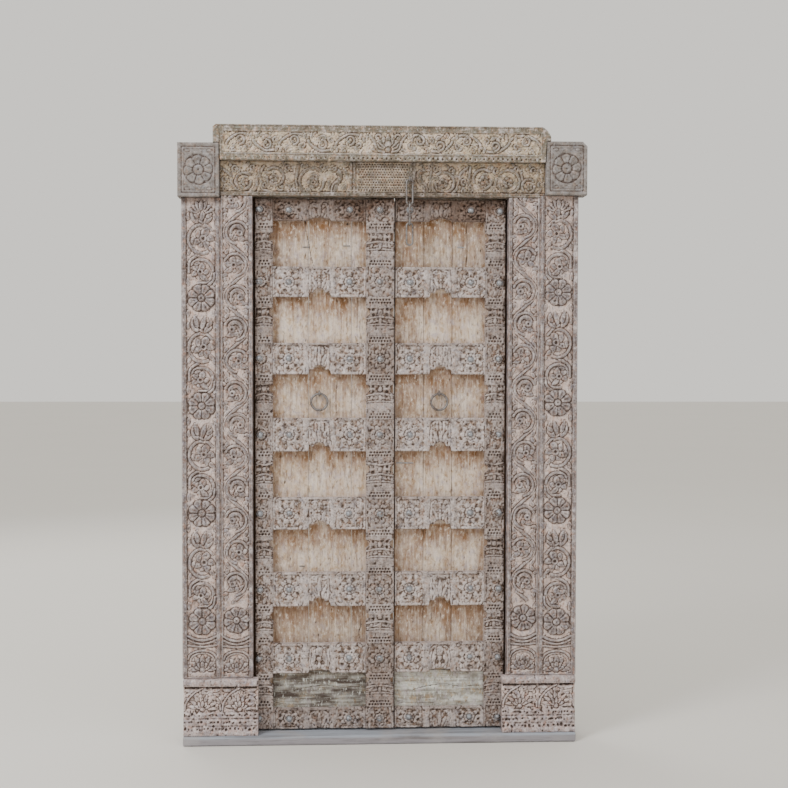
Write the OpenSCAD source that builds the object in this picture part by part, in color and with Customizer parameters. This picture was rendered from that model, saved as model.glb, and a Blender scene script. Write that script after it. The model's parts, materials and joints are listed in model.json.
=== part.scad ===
// Carved double door in its carved timber frame.
// Two leaves of upright planks, dressed with carved rails and stiles, turn on
// iron pivots between a plain sill and a pair of carved lintels.
// X runs to the viewer's right, Y away from the viewer, Z up.
// The origin is the centre of the sill's underside.

/* [Frame] */
// Height from the underside of the sill to the top of the upper lintel
door_h = 2130; // [2120:1:2160]
// Width of the sill
sill_w = 1362; // [1340:1:1400]
// Depth of the sill from front to back
sill_d = 230; // [226:1:280]
// Height of the sill
sill_h = 32; // [30:1:33]
// Half width of the clear opening between the inner jambs
opening_half = 442; // [441:1:446]
// Width of each carved inner jamb
jamb_w = 108; // [100:1:112]
// Width of each carved outer pilaster
pilaster_w = 134; // [128:1:140]
// Height of the joint between the plinths and the boards above them
plinth_top = 228; // [220:1:240]
// How far the inner plinths reach into the opening
plinth_lip = 18; // [0:1:24]
// Height of the underside of the lower lintel
lintel_z = 1891; // [1888:1:1895]
// Height of the carved face of the lower lintel
lower_lintel_h = 119; // [117:1:126]
// Width of each corner block
block_w = 142; // [130:1:150]
// Height of each corner block
block_h = 183; // [176:1:190]
// Depth of the carving on the frame boards
carve_d = 9; // [4:1:14]

/* [Leaves] */
// Height of the top of the rails and stiles
leaf_top = 1885; // [1880:1:1885]
// Clearance under the leaves
leaf_clear = 6; // [4:1:8]
// Thickness of the upright planks
plank_t = 26; // [24:1:28]
// Thickness of the carved rails
rail_t = 27; // [22:1:30]
// Thickness of the carved hanging stiles
hanging_t = 31; // [26:1:32]
// Thickness of the carved centre stile
centre_t = 37; // [30:1:38]
// Depth of the sunk fields on the rails
rail_sink = 5; // [2:1:8]
// Thickness of the boards in the bottom panels
bottom_board_t = 8; // [5:1:12]
// Gap between neighbouring planks
plank_gap = 1; // [0.5:0.5:2]
// Thickness of the battens behind the planks
batten_t = 22; // [16:1:24]
// Height of each batten
batten_h = 64; // [50:1:76]

/* [Ironwork] */
// Radius of the pivot pins
pivot_r = 9; // [7:0.5:10]
// Radius of the domed bosses
boss_r = 11; // [9:0.5:13]
// Height of the domed bosses
boss_h = 8; // [5:0.5:9]
// Radius of a pull ring, to the middle of its wire
ring_r = 28.5; // [24:0.5:34]
// Radius of a pull ring's wire
ring_wire = 4.5; // [3:0.5:4.5]
// Radius of an eye staple, to the middle of its wire
eye_r = 8.5; // [8.5:0.5:10]
// Radius of an eye staple's wire
eye_wire = 3; // [2:0.5:3]
// Radius of the chain's wire
link_wire = 3.5; // [2.5:0.5:4]
// Outer width of a chain link
link_w = 28; // [26:1:30]
// Outer lengths of the three chain links, from the top
link_lens = [92, 86, 82];

/* [Hidden] */
$fn = 48;
eps = 0.01;

// Depth planes of the frame
sill_front = -sill_d / 2;
board_back = -24;
pilaster_front = -88;
jamb_front = -84;
lower_lintel_front = -84;
upper_lintel_front = -110;
block_front = -106;
plinth_front = -106;
post_back = 25;
beam_back = 60;

// Depth planes of the leaves
plank_front = -21;
plank_back = plank_front + plank_t;
rail_front = plank_front - rail_t;
hanging_front = plank_front - hanging_t;
centre_front = plank_front - centre_t;
lip_back = -66;

// Frame widths and heights
jamb_out = opening_half + jamb_w;
pilaster_out = jamb_out + pilaster_w;
upper_z = lintel_z + lower_lintel_h;
block_x = [-(jamb_out + 144), jamb_out + 18];
block_z = [lintel_z - 7, lintel_z + 8];
block_gap = 1;
post_x = [opening_half + 4, pilaster_out - 12];
// Lip of each back post that closes the gap behind a leaf's hanging edge
post_lip = 434;
post_lip_y = 15;
beam_z = lintel_z + 26;
beam_top = beam_z + 146;
beam_half = pilaster_out - 4;

// Leaf outlines, left leaf first
leaf_bottom = sill_h + leaf_clear;
tall_top = lintel_z + 19;
rail_x = [[-374, -50], [51, 366]];
hanging_x = [[-434, -374], [366, 434]];
centre_x = [-50, 47];
plank_x = [[-434, -250, -100, 47], [51, 152, 252, 434]];
short_plank = [0, 2];
// Each short plank has a tall tongue that starts this far from the pivot's axis
tongue_clear = 14;

// Rails from the top: lower and upper edge of each
rail_z = [
    [1811, leaf_top], [1547, 1652], [1279, 1388], [1011, 1127],
    [738, 850], [469, 587], [234, 337], [leaf_bottom, 110]
];
rail_count = len(rail_z);
// Width of the plain middle length between the two rosette squares
rail_middle = 77;
square_margin = 9;
// Radius of the rosette disc in each square
disc_r = 40;

// Notch in a rail's lower edge: middle, width, and depth rail by rail
notch_x = [-213, 210];
notch_w = 76;
notch_d = [14, 33, 33, 33, 33, 33, 15];

// Heights of the cusps cut in the stiles' edges
cusp_z = [1755, 1495, 1228, 948, 686, 432, 206];
cusp_r = 15;
cusp_in = 2;

// Pivots
pivot_x = [-419, 419];
pivot_y = -8;
pivot_play = 1;
socket_floor = 10;
top_pin = [1800, beam_z + 30];
bottom_pin = [socket_floor + 0.5, 120];

// Bosses: places across each leaf
rail_boss_x = [[-318, -108], [102, 315]];
hanging_boss_x = [-420, 415];
centre_boss_x = -2;
shank_r = 3;
shank_len = 18;

// Rings and their eye staples
ring_x = [-213, 206];
eye_y = plank_front - eye_r - eye_wire - 0.5;
eye_z = 1212;
eye_shank_r = 3.5;
ring_drop = 0.8;

// Chain: staple in the lintel, then three links
chain_x = 97;
chain_y = lower_lintel_front - eye_r - eye_wire - 0.5;
chain_z = 1950;
link_play = 0.4;

// Cramps: iron staples let into the planks, [x, z, length]
cramps = [
    [[-259, 1721, 24], [-118, 1726, 24], [-273, 606, 20]],
    [[281, 1723, 22], [86, 968, 60]]
];
cramp_h = 4;
cramp_t = 2;
cramp_leg = 12;

// Battens lie behind these rails, and an upright strip backs each meeting edge
batten_rails = [0, 2, 4, 6, 7];
strip_w = 30;
batten_x = [[-374, 46 - strip_w], [51 + strip_w, 374]];
strip_x = [[46 - strip_w, 46], [51, 51 + strip_w]];

// Joinery of the frame
tenon = [130, 20, 42];
sill_tenon_h = 18;
tenon_x = (post_x[0] + post_x[1]) / 2;
peg_r = 7.5;
peg_step = 70;
peg_z = beam_z + 22;

SIDES = ["left", "right"];

// Colours
pink_wood = [0.66, 0.59, 0.55];
sand_wood = [0.66, 0.61, 0.52];
lilac_wood = [0.52, 0.49, 0.49];
leaf_wood = [0.57, 0.52, 0.47];
panel_wood = [0.74, 0.65, 0.54];
sill_wood = [0.55, 0.56, 0.56];
plain_wood = [0.42, 0.34, 0.27];
iron = [0.33, 0.34, 0.37];

// A box between two corners
module slab(x, y, z)
    translate([x[0], y[0], z[0]]) cube([x[1] - x[0], y[1] - y[0], z[1] - z[0]]);

// A shape in the X-Z plane given a thickness from y[0] back to y[1]
module plate(y)
    translate([0, y[1], 0]) rotate([90, 0, 0]) linear_extrude(y[1] - y[0]) children();

// A round bar along Y
module pin_y(x, z, r, y)
    translate([x, y[1], z]) rotate([90, 0, 0]) cylinder(r = r, h = y[1] - y[0]);

// An upright bore or pin
module pin_z(x, y, r, z)
    translate([x, y, z[0]]) cylinder(r = r, h = z[1] - z[0]);

// Eight-petalled rosette with a hub, standing on the plane y
module rosette(x, z, r, y, h) {
    plate([y - h * 0.7, y]) translate([x, z]) polygon([
        for (i = [0 : 31]) let (a = i * 360 / 32, s = r * (0.9 + 0.1 * cos(8 * a)))
            [s * cos(a), s * sin(a)]
    ]);
    pin_y(x, z, r * 0.3, [y - h, y]);
}

// Raised ring, the outline of a scroll
module scroll(x, z, r, y, h)
    difference() {
        pin_y(x, z, r, [y - h, y]);
        pin_y(x, z, r - 7, [y - h - 1, y + 1]);
    }

// Upright carved board: borders, sunk field, scrolls and rosettes at one period
module carved_post(x, y0, z, border, repeat, count, r) {
    field = [x[0] + border[0], x[1] - border[1]];
    mid = (field[0] + field[1]) / 2;
    difference() {
        slab(x, [y0, board_back], z);
        slab(field, [y0 - 1, y0 + carve_d], [z[0] + 132, z[1] - 6]);
        slab(field, [y0 - 1, y0 + carve_d / 2], [z[0] + 10, z[0] + 106]);
    }
    for (i = [0 : count - 1]) {
        zr = z[0] + 196 + i * repeat;
        rosette(mid, zr, r * 0.86, y0 + carve_d, carve_d);
        if (zr + repeat * 0.55 < z[1] - 50)
            scroll(mid, zr + repeat * 0.5, r, y0 + carve_d, carve_d * 0.8);
    }
}

module outer_pilaster(side) {
    x = side < 0 ? [-pilaster_out, -jamb_out] : [jamb_out, pilaster_out];
    z1 = side < 0 ? block_z[0] : block_z[1];
    color(pink_wood)
        carved_post(x, pilaster_front, [plinth_top, z1], side < 0 ? [16, 20] : [20, 16], 373, 4, 45);
}

module inner_jamb(side) {
    x = side < 0 ? [-jamb_out, -opening_half] : [opening_half, jamb_out];
    color(pink_wood)
        carved_post(x, jamb_front, [plinth_top, lintel_z], [6, 6], 220, 7, 44);
}

// Side outline of a plinth: base, beaded bands, carved block and top roll
function roll(y, z, r, n) = [for (i = [0 : n]) let (a = -90 + 180 * i / n) [y - r * cos(a), z + r * sin(a)]];
roll_r = 13;
plinth_outline = concat(
    [[board_back, sill_h], [plinth_front, sill_h], [plinth_front, sill_h + 14],
     [plinth_front + 4, sill_h + 16], [plinth_front + 4, sill_h + 34]],
    roll(plinth_front + 9, sill_h + 42, 6, 6),
    [[plinth_front + 6, sill_h + 50], [plinth_front + 6, sill_h + 160],
     [plinth_front + 14, sill_h + 168]],
    roll(plinth_front + roll_r, plinth_top - roll_r, roll_r, 8),
    [[board_back, plinth_top]]
);

module plinth_run(x)
    translate([x[0], 0, 0]) rotate([90, 0, 90]) linear_extrude(x[1] - x[0]) polygon(plinth_outline);

module outer_plinth(side) {
    x = [jamb_out, pilaster_out - 4];
    color(pink_wood) plinth_run(side < 0 ? [-x[1], -x[0]] : x);
}

module inner_plinth(side) {
    x = [opening_half - plinth_lip, jamb_out];
    back = [x[0] - 1, opening_half];
    color(pink_wood) difference() {
        plinth_run(side < 0 ? [-x[1], -x[0]] : x);
        slab(side < 0 ? [-back[1], -back[0]] : back, [lip_back, board_back + 1], [sill_h - 1, plinth_top + 1]);
    }
}

module corner_block(i) {
    x = [block_x[i], block_x[i] + block_w - 1 + i];
    z = [block_z[i], block_z[i] + block_h];
    mid = [(x[0] + x[1]) / 2, (z[0] + z[1]) / 2];
    cut = 16;
    color(lilac_wood) {
        difference() {
            plate([block_front, board_back]) polygon([
                [x[0], z[0]], [x[1], z[0]], [x[1], z[1] - cut * i], [x[1] - cut * i, z[1]], [x[0], z[1]]
            ]);
            slab([x[0] + 14, x[1] - 14], [block_front - 1, block_front + 7], [z[0] + 16, z[1] - 16]);
        }
        rosette(mid[0], mid[1], 46, block_front + 7, 7);
    }
}

// The lower lintel runs between the corner blocks, notched over the taller pilaster
module lower_lintel() {
    x = [block_x[0] + block_w, block_x[1] - block_gap];
    panel = 98;
    color(sand_wood) difference() {
        slab(x, [lower_lintel_front, board_back], [lintel_z, upper_z]);
        slab([jamb_out, x[1] + 1], [lower_lintel_front - 1, board_back + 1], [lintel_z - 1, block_z[1]]);
        for (s = [[x[0] + 8, -panel], [panel + 6, x[1] - 8]])
            slab(s, [lower_lintel_front - 1, lower_lintel_front + carve_d], [lintel_z + 18, upper_z - 8]);
        pin_y(chain_x, chain_z, eye_shank_r, [lower_lintel_front - 1, board_back - 6]);
    }
}

// The upper lintel laps over the corner blocks at both ends
module upper_lintel() {
    seat = [block_z[0] + block_h + block_gap, block_z[1] + block_h + block_gap];
    inner = [block_x[0] + block_w, block_x[1] - block_gap];
    x = [-574, 584];
    color(sand_wood) difference() {
        plate([upper_lintel_front, board_back]) polygon([
            [inner[0], upper_z], [inner[1], upper_z], [inner[1], seat[1]], [x[1], seat[1]],
            [x[1] - 1, door_h - 34], [x[1] - 10, door_h - 16], [x[1] - 34, door_h],
            [x[0] + 10, door_h], [x[0] + 3, door_h - 8], [x[0], door_h - 34], [x[0] + 8, seat[0]],
            [inner[0], seat[0]]
        ]);
        slab([inner[0] + 12, inner[1] - 12], [upper_lintel_front - 1, upper_lintel_front + carve_d],
            [upper_z + 24, door_h - 22]);
    }
}

// Frame parts behind the carving
module back_post(side) {
    x = side < 0 ? [-post_x[1], -post_x[0]] : post_x;
    tx = [side * tenon_x - tenon[0] / 2, side * tenon_x + tenon[0] / 2];
    color(plain_wood) difference() {
        union() {
            slab(x, [board_back, post_back], [sill_h, beam_z]);
            slab(side < 0 ? [-post_x[0], -post_lip] : [post_lip, post_x[0]], [post_lip_y, post_back],
                [sill_h, beam_z]);
            slab(tx, [-tenon[1] / 2, tenon[1] / 2], [sill_h - sill_tenon_h, beam_z + tenon[2]]);
        }
        for (p = [-0.5, 0.5])
            pin_y(side * tenon_x + p * peg_step, peg_z, peg_r, [-tenon[1], tenon[1]]);
    }
}

module head_beam()
    color(plain_wood) difference() {
        slab([-beam_half, beam_half], [board_back, beam_back], [beam_z, beam_top]);
        for (i = [0, 1]) {
            pin_z(pivot_x[i], pivot_y, pivot_r + pivot_play, [beam_z - 1, top_pin[1] + 2]);
            tx = sign(pivot_x[i]) * tenon_x;
            slab([tx - tenon[0] / 2, tx + tenon[0] / 2], [-tenon[1] / 2, tenon[1] / 2],
                [beam_z - 1, beam_z + tenon[2]]);
            for (p = [-0.5, 0.5])
                pin_y(tx + p * peg_step, peg_z, peg_r, [board_back - 1, beam_back + 1]);
        }
    }

module frame_pegs()
    color(leaf_wood) for (s = [-1, 1]) for (p = [-0.5, 0.5])
        pin_y(s * tenon_x + p * peg_step, peg_z, peg_r, [board_back, beam_back + 6]);

module sill() {
    edge = 5;
    color(sill_wood) difference() {
        translate([-sill_w / 2, 0, 0]) rotate([90, 0, 90]) linear_extrude(sill_w) polygon([
            [sill_front, 0], [-sill_front, 0], [-sill_front, sill_h],
            [sill_front + edge, sill_h], [sill_front, sill_h - edge]
        ]);
        for (i = [0, 1]) {
            pin_z(pivot_x[i], pivot_y, pivot_r + pivot_play, [socket_floor, sill_h + 1]);
            tx = sign(pivot_x[i]) * tenon_x;
            slab([tx - tenon[0] / 2, tx + tenon[0] / 2], [-tenon[1] / 2, tenon[1] / 2],
                [sill_h - sill_tenon_h, sill_h + 1]);
        }
    }
}

// Upright planks of a leaf, bored for the pivots, the staple and the cramps
module plank(i, n) {
    half = plank_gap / 2;
    x = [plank_x[i][n] + (n > 0 ? half : 0), plank_x[i][n + 1] - (n < 2 ? half : 0)];
    outer = n == short_plank[i];
    color(panel_wood) difference() {
        union() {
            slab(x, [plank_front, plank_back], [leaf_bottom, outer ? leaf_top : tall_top]);
            if (outer) slab([max(x[0], pivot_x[0] + tongue_clear), min(x[1], pivot_x[1] - tongue_clear)],
                [plank_front, plank_back], [leaf_top - 1, tall_top]);
        }
        if (outer) for (z = [[top_pin[0], leaf_top + 1], [leaf_bottom - 1, bottom_pin[1]]])
            pin_z(pivot_x[i], pivot_y, pivot_r, z);
        if (ring_x[i] > x[0] && ring_x[i] < x[1])
            pin_y(ring_x[i], eye_z, eye_shank_r, [plank_front - 1, plank_back + 1]);
        for (c = cramps[i]) if (c[0] + c[2] / 2 > x[0] && c[0] - c[2] / 2 < x[1]) cramp(c);
    }
}

module bottom_board(i) {
    color(panel_wood) slab(rail_x[i], [plank_front - bottom_board_t, plank_front],
        [rail_z[7][1], rail_z[6][0]]);
}

// Cusped notch in a rail's lower edge
module notch_shape(d) {
    w = notch_w / 2;
    half = [
        [w, -1], [w, d * 0.42], [w * 0.9, d * 0.52], [w * 0.54, d * 0.5], [w * 0.46, d * 0.72], [w * 0.2, d * 0.84]
    ];
    polygon(concat(half, [[0, d]], [for (k = [len(half) - 1 : -1 : 0]) [-half[k][0], half[k][1]]]));
}

// Carved rail: two squares with rosettes and a middle length over a notch
module rail(i, n) {
    x = rail_x[i];
    z = rail_z[n];
    y = [rail_front, plank_front];
    squares = [[x[0], notch_x[i] - rail_middle / 2], [notch_x[i] + rail_middle / 2, x[1]]];
    color(leaf_wood) {
        difference() {
            slab(x, y, z);
            for (s = squares)
                slab([s[0] + square_margin, s[1] - square_margin], [y[0] - 1, y[0] + rail_sink],
                    [z[0] + square_margin, z[1] - square_margin]);
            if (n < rail_count - 1)
                plate([y[0] - 1, y[1] + 1]) translate([notch_x[i], z[0]]) notch_shape(notch_d[n]);
            for (b = rail_boss_x[i]) boss_bore(b, rail_mid(n), rail_front);
        }
        for (b = rail_boss_x[i]) difference() {
            pin_y(b, rail_mid(n), min(disc_r, (z[1] - z[0]) / 2 - square_margin - 1),
                [rail_front, rail_front + rail_sink]);
            boss_bore(b, rail_mid(n), rail_front);
        }
    }
}

function rail_mid(n) = (rail_z[n][0] + rail_z[n][1]) / 2;

module cusps(x)
    for (z = cusp_z) pin_y(x, z, cusp_r, [centre_front - 1, plank_front + 1]);

module hanging_stile(i) {
    x = hanging_x[i];
    inner = i == 0 ? x[1] : x[0];
    away = i == 0 ? cusp_in : -cusp_in;
    color(leaf_wood) difference() {
        slab(x, [hanging_front, plank_front], [leaf_bottom, leaf_top]);
        cusps(inner + away);
        for (n = [0 : rail_count - 1]) boss_bore(hanging_boss_x[i], rail_mid(n), hanging_front);
    }
}

module centre_stile()
    color(leaf_wood) difference() {
        slab(centre_x, [centre_front, plank_front], [leaf_bottom, leaf_top]);
        cusps(centre_x[0] - cusp_in);
        cusps(centre_x[1] + cusp_in);
        for (n = [0 : rail_count - 1]) boss_bore(centre_boss_x, rail_mid(n), centre_front);
    }

module battens(i)
    color(plain_wood) {
        y = [plank_back, plank_back + batten_t];
        for (n = batten_rails)
            slab(batten_x[i], y, [rail_mid(n) - batten_h / 2, rail_mid(n) + batten_h / 2]);
        slab(strip_x[i], y, [leaf_bottom + 2, leaf_top]);
    }

// Iron pivot pins driven into the outer plank's ends
module pivots(i)
    color(iron) {
        pin_z(pivot_x[i], pivot_y, pivot_r, top_pin);
        pin_z(pivot_x[i], pivot_y, pivot_r, bottom_pin);
    }

// Domed boss with a shank driven into the wood
module boss_bore(x, z, y)
    pin_y(x, z, shank_r, [y - 1, y + shank_len]);

module boss(x, z, y)
    translate([x, y, z]) rotate([90, 0, 0]) rotate_extrude() polygon(concat(
        [[0, -shank_len], [shank_r, -shank_len], [shank_r, 0], [boss_r, 0]],
        [for (a = [15 : 15 : 90]) [boss_r * cos(a), boss_h * sin(a)]]
    ));

module bosses(i)
    color(iron) for (n = [0 : rail_count - 1]) {
        for (b = rail_boss_x[i]) boss(b, rail_mid(n), rail_front);
        boss(hanging_boss_x[i], rail_mid(n), hanging_front);
        if (i == 0) boss(centre_boss_x, rail_mid(n), centre_front);
    }

// Flat iron cramp with two legs in the plank
module cramp(c) {
    x = [c[0] - c[2] / 2, c[0] + c[2] / 2];
    slab(x, [plank_front - cramp_t, plank_front], [c[1] - cramp_h / 2, c[1] + cramp_h / 2]);
    for (leg = [x[0], x[1] - cramp_t])
        slab([leg, leg + cramp_t], [plank_front - eps, plank_front + cramp_leg],
            [c[1] - cramp_h / 2, c[1] + cramp_h / 2]);
}

module cramps(i)
    color(iron) for (c = cramps[i]) cramp(c);

// Eye staple with a sideways hole: ring of wire and a shank into the wood
module eye(x, y, z, depth) {
    translate([x, y, z]) rotate([0, 90, 0]) rotate_extrude() translate([eye_r, 0]) circle(eye_wire);
    pin_y(x, z, eye_shank_r, [y + eye_r, y + eye_r + depth]);
}

module ring_staple(i)
    color(iron) eye(ring_x[i], eye_y, eye_z, plank_back - eye_y - eye_r);

module ring(i)
    color(iron) translate([ring_x[i], eye_y, eye_z - ring_drop - ring_r])
        rotate([90, 0, 0]) rotate_extrude() translate([ring_r, 0]) circle(ring_wire);

// Long oval link in the X-Z plane, hanging from the origin's height at the top
module link(length) {
    bend = link_w / 2 - link_wire;
    run = length - link_w;
    translate([0, 0, -length / 2]) {
        for (s = [-1, 1]) {
            translate([s * bend, 0, -run / 2]) cylinder(r = link_wire, h = run);
            translate([0, 0, s * run / 2]) rotate([90 * s, 0, 0])
                rotate_extrude(angle = 180) translate([bend, 0]) circle(link_wire);
        }
    }
}

// Height of the outer top of each link, one hooked through the next
link_top = [
    chain_z - eye_r + eye_wire + 2 * link_wire + link_play,
    chain_z - eye_r + eye_wire + 2 * link_wire + link_play - link_lens[0] + 4 * link_wire + link_play,
    chain_z - eye_r + eye_wire + 2 * link_wire + link_play - link_lens[0] - link_lens[1]
        + 8 * link_wire + 2 * link_play
];

module chain_staple()
    color(iron) eye(chain_x, chain_y, chain_z, board_back - 6 - chain_y - eye_r);

module chain_link(n)
    color(iron) translate([chain_x, chain_y, link_top[n]])
        rotate([0, 0, n == 1 ? 90 : 0]) link(link_lens[n]);

sill();
lower_lintel();
upper_lintel();
head_beam();
frame_pegs();
centre_stile();
chain_staple();
for (n = [0 : 2])
    chain_link(n);
for (i = [0, 1]) {
    side = 2 * i - 1;
    s = SIDES[i];
    outer_pilaster(side);
    inner_jamb(side);
    outer_plinth(side);
    inner_plinth(side);
    corner_block(i);
    back_post(side);
    for (n = [0 : 2])
        plank(i, n);
    for (n = [0 : rail_count - 1])
        rail(i, n);
    bottom_board(i);
    hanging_stile(i);
    battens(i);
    pivots(i);
    bosses(i);
    cramps(i);
    ring(i);
    ring_staple(i);
}
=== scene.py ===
"""Carved double door in its carved timber frame: the finish of every piece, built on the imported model."""

import json
import math

import bpy
import numpy as np
from bpy.props import FloatProperty, FloatVectorProperty, IntProperty, PointerProperty
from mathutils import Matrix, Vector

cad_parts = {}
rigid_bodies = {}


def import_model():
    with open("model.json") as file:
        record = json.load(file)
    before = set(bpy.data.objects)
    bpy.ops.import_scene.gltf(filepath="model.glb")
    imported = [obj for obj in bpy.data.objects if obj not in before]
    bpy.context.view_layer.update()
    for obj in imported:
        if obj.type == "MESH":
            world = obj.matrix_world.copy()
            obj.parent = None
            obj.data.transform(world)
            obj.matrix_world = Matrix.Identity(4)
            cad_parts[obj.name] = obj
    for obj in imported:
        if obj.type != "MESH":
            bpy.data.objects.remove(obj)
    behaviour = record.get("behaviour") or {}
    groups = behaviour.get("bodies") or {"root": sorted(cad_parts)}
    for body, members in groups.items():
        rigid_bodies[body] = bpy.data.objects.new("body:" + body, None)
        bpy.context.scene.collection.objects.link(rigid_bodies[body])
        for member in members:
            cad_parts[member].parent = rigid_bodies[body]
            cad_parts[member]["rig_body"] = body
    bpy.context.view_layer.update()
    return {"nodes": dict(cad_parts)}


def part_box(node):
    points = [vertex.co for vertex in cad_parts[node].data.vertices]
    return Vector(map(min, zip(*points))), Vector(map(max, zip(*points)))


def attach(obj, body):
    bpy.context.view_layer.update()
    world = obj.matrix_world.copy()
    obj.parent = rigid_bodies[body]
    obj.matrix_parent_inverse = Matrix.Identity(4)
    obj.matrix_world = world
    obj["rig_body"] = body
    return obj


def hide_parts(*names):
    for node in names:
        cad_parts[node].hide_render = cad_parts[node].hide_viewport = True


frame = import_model()

bl_info = {
    "name": "Carved Door",
    "version": (1, 0, 0),
    "blender": (4, 5, 0),
    "location": "View3D > Sidebar > Door",
    "description": "Builds a carved double door with its frame, ironwork and studio",
    "category": "Add Mesh",
}

MM = 0.001
SIDES = ("left", "right")
RAILS = range(1, 9)
STILES = ("centre_stile", "left_hanging_stile", "right_hanging_stile")

# Places of the carving and the ironwork on their boards, in millimetres.
PILASTER_ROSETTES = {"left": (426, 801, 1171, 1541), "right": (414, 806, 1182, 1565)}
JAMB_VINES = {"left": (556, 110), "right": (559, 112.3)}  # height of the lowest full scroll, and the pitch
LINTEL_FIELD = (-538, 548, 2034, 2108)  # left, right, foot and head of the upper lintel's vine
BEAD_ROW = 2020
PALMETTE_X = 22
BLOCK_CHAMFERS = (3, 16)  # worn right corners of the left and the right block
RAIL_BOSSES = {"left": (-318, -108), "right": (102, 315)}
HANGING_BOSSES = {"left": -420, "right": 415}
CENTRE_BOSS = -2
STILE_FLOWERS = (-2, -414, 410)
WAISTS = (1755, 1495, 1228, 948, 686, 432, 206)
NOTCH_X = {"left": -213, "right": 210}
NOTCH_DEPTHS = (14, 33, 33, 33, 33, 33, 15, 0)
# Left half of a notch: distance from its middle, and share of its depth.
CUSP = [(-39, 0), (-38, 0.42), (-34, 0.52), (-20.5, 0.5), (-17.5, 0.72), (-7.6, 0.84), (0, 1)]
CRAMPS = {"left": [(-259, 1721, 24), (-118, 1726, 24), (-273, 606, 20)],
          "right": [(281, 1723, 22), (86, 968, 60)]}  # middle across, height and length of each
PLANK_STEP, PLANK_STEP_UP = 3.2, 9
OVERLAP = 2.5  # how far a rail or stile sinks into the planks behind it
PLINTH_RELIEF = 26
BATTEN_RAILS = (1, 3, 5, 7, 8)
BATTEN_HALF = 32
EDGE_STRIP = 30
LENS = 59.985


# ---------------------------------------------------------------- places

def span_of(node):
    """The X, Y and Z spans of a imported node, in millimetres."""
    return [(low / MM, high / MM) for low, high in zip(*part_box(node))]


def seed_of(name):
    """A random generator that is the same for a name on every run."""
    return np.random.default_rng(sum(ord(c) * (i + 1) for i, c in enumerate(name)))


def tint(red, green, blue):
    """A linear colour from display values of 0 to 255."""
    return tuple(((v / 255 + 0.055) / 1.055) ** 2.4 for v in (red, green, blue))


# ---------------------------------------------------------------- carving

def smooth_step(t):
    t = np.clip(t, 0, 1)
    return t * t * (3 - 2 * t)


def soft_noise(rng, shape, cell):
    """Smooth random field from 0 to 1, with features about cell = (high, wide) cells across."""
    counts = [int(s / c) + 3 for s, c in zip(shape, cell)]
    knots = rng.random(counts)
    z, x = (np.arange(s) / c for s, c in zip(shape, cell))
    k, i = z.astype(int), x.astype(int)
    fz, fx = smooth_step(z - k)[:, None], smooth_step(x - i)[None, :]
    low = knots[k][:, i] * (1 - fx) + knots[k][:, i + 1] * fx
    high = knots[k + 1][:, i] * (1 - fx) + knots[k + 1][:, i + 1] * fx
    return low * (1 - fz) + high * fz


def blur(field, radius):
    """Box blur, run twice."""
    span = 2 * radius + 1
    for axis in (0, 1, 0, 1):
        pad = [(0, 0), (0, 0)]
        pad[axis] = (radius + 1, radius)
        total = np.cumsum(np.pad(field, pad, mode="edge"), axis=axis)
        ahead, behind = np.split(total, [span], axis)[1], np.split(total, [-span], axis)[0]
        field = (ahead - behind) / span
    return field


def spline(points, step=2.0):
    """Points every step along a smooth curve through the given ones."""
    p = np.asarray(points, float)
    p = np.vstack([2 * p[0] - p[1], p, 2 * p[-1] - p[-2]])
    out = []
    for a, b, c, d in zip(p[:-3], p[1:-2], p[2:-1], p[3:]):
        t = np.linspace(0, 1, max(2, int(np.hypot(*(c - b)) / step)), endpoint=False)[:, None]
        out.append(0.5 * (2 * b + (c - a) * t + (2 * a - 5 * b + 4 * c - d) * t ** 2
                          + (3 * b - a - 3 * c + d) * t ** 3))
    return np.vstack(out + [p[-2:-1]])


def scroll_line(x, z, start_r, end_r, start, sweep, squeeze=1.0):
    """Points of a scroll about (x, z); angles in degrees, anticlockwise from the right."""
    t = np.linspace(0, 1, max(8, int(abs(math.radians(sweep)) * max(start_r, end_r) / 2)))
    a = np.radians(start + sweep * t)
    r = start_r + (end_r - start_r) * t ** 1.3
    return np.column_stack([x + r * np.cos(a) * squeeze, z + r * np.sin(a)])


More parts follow.
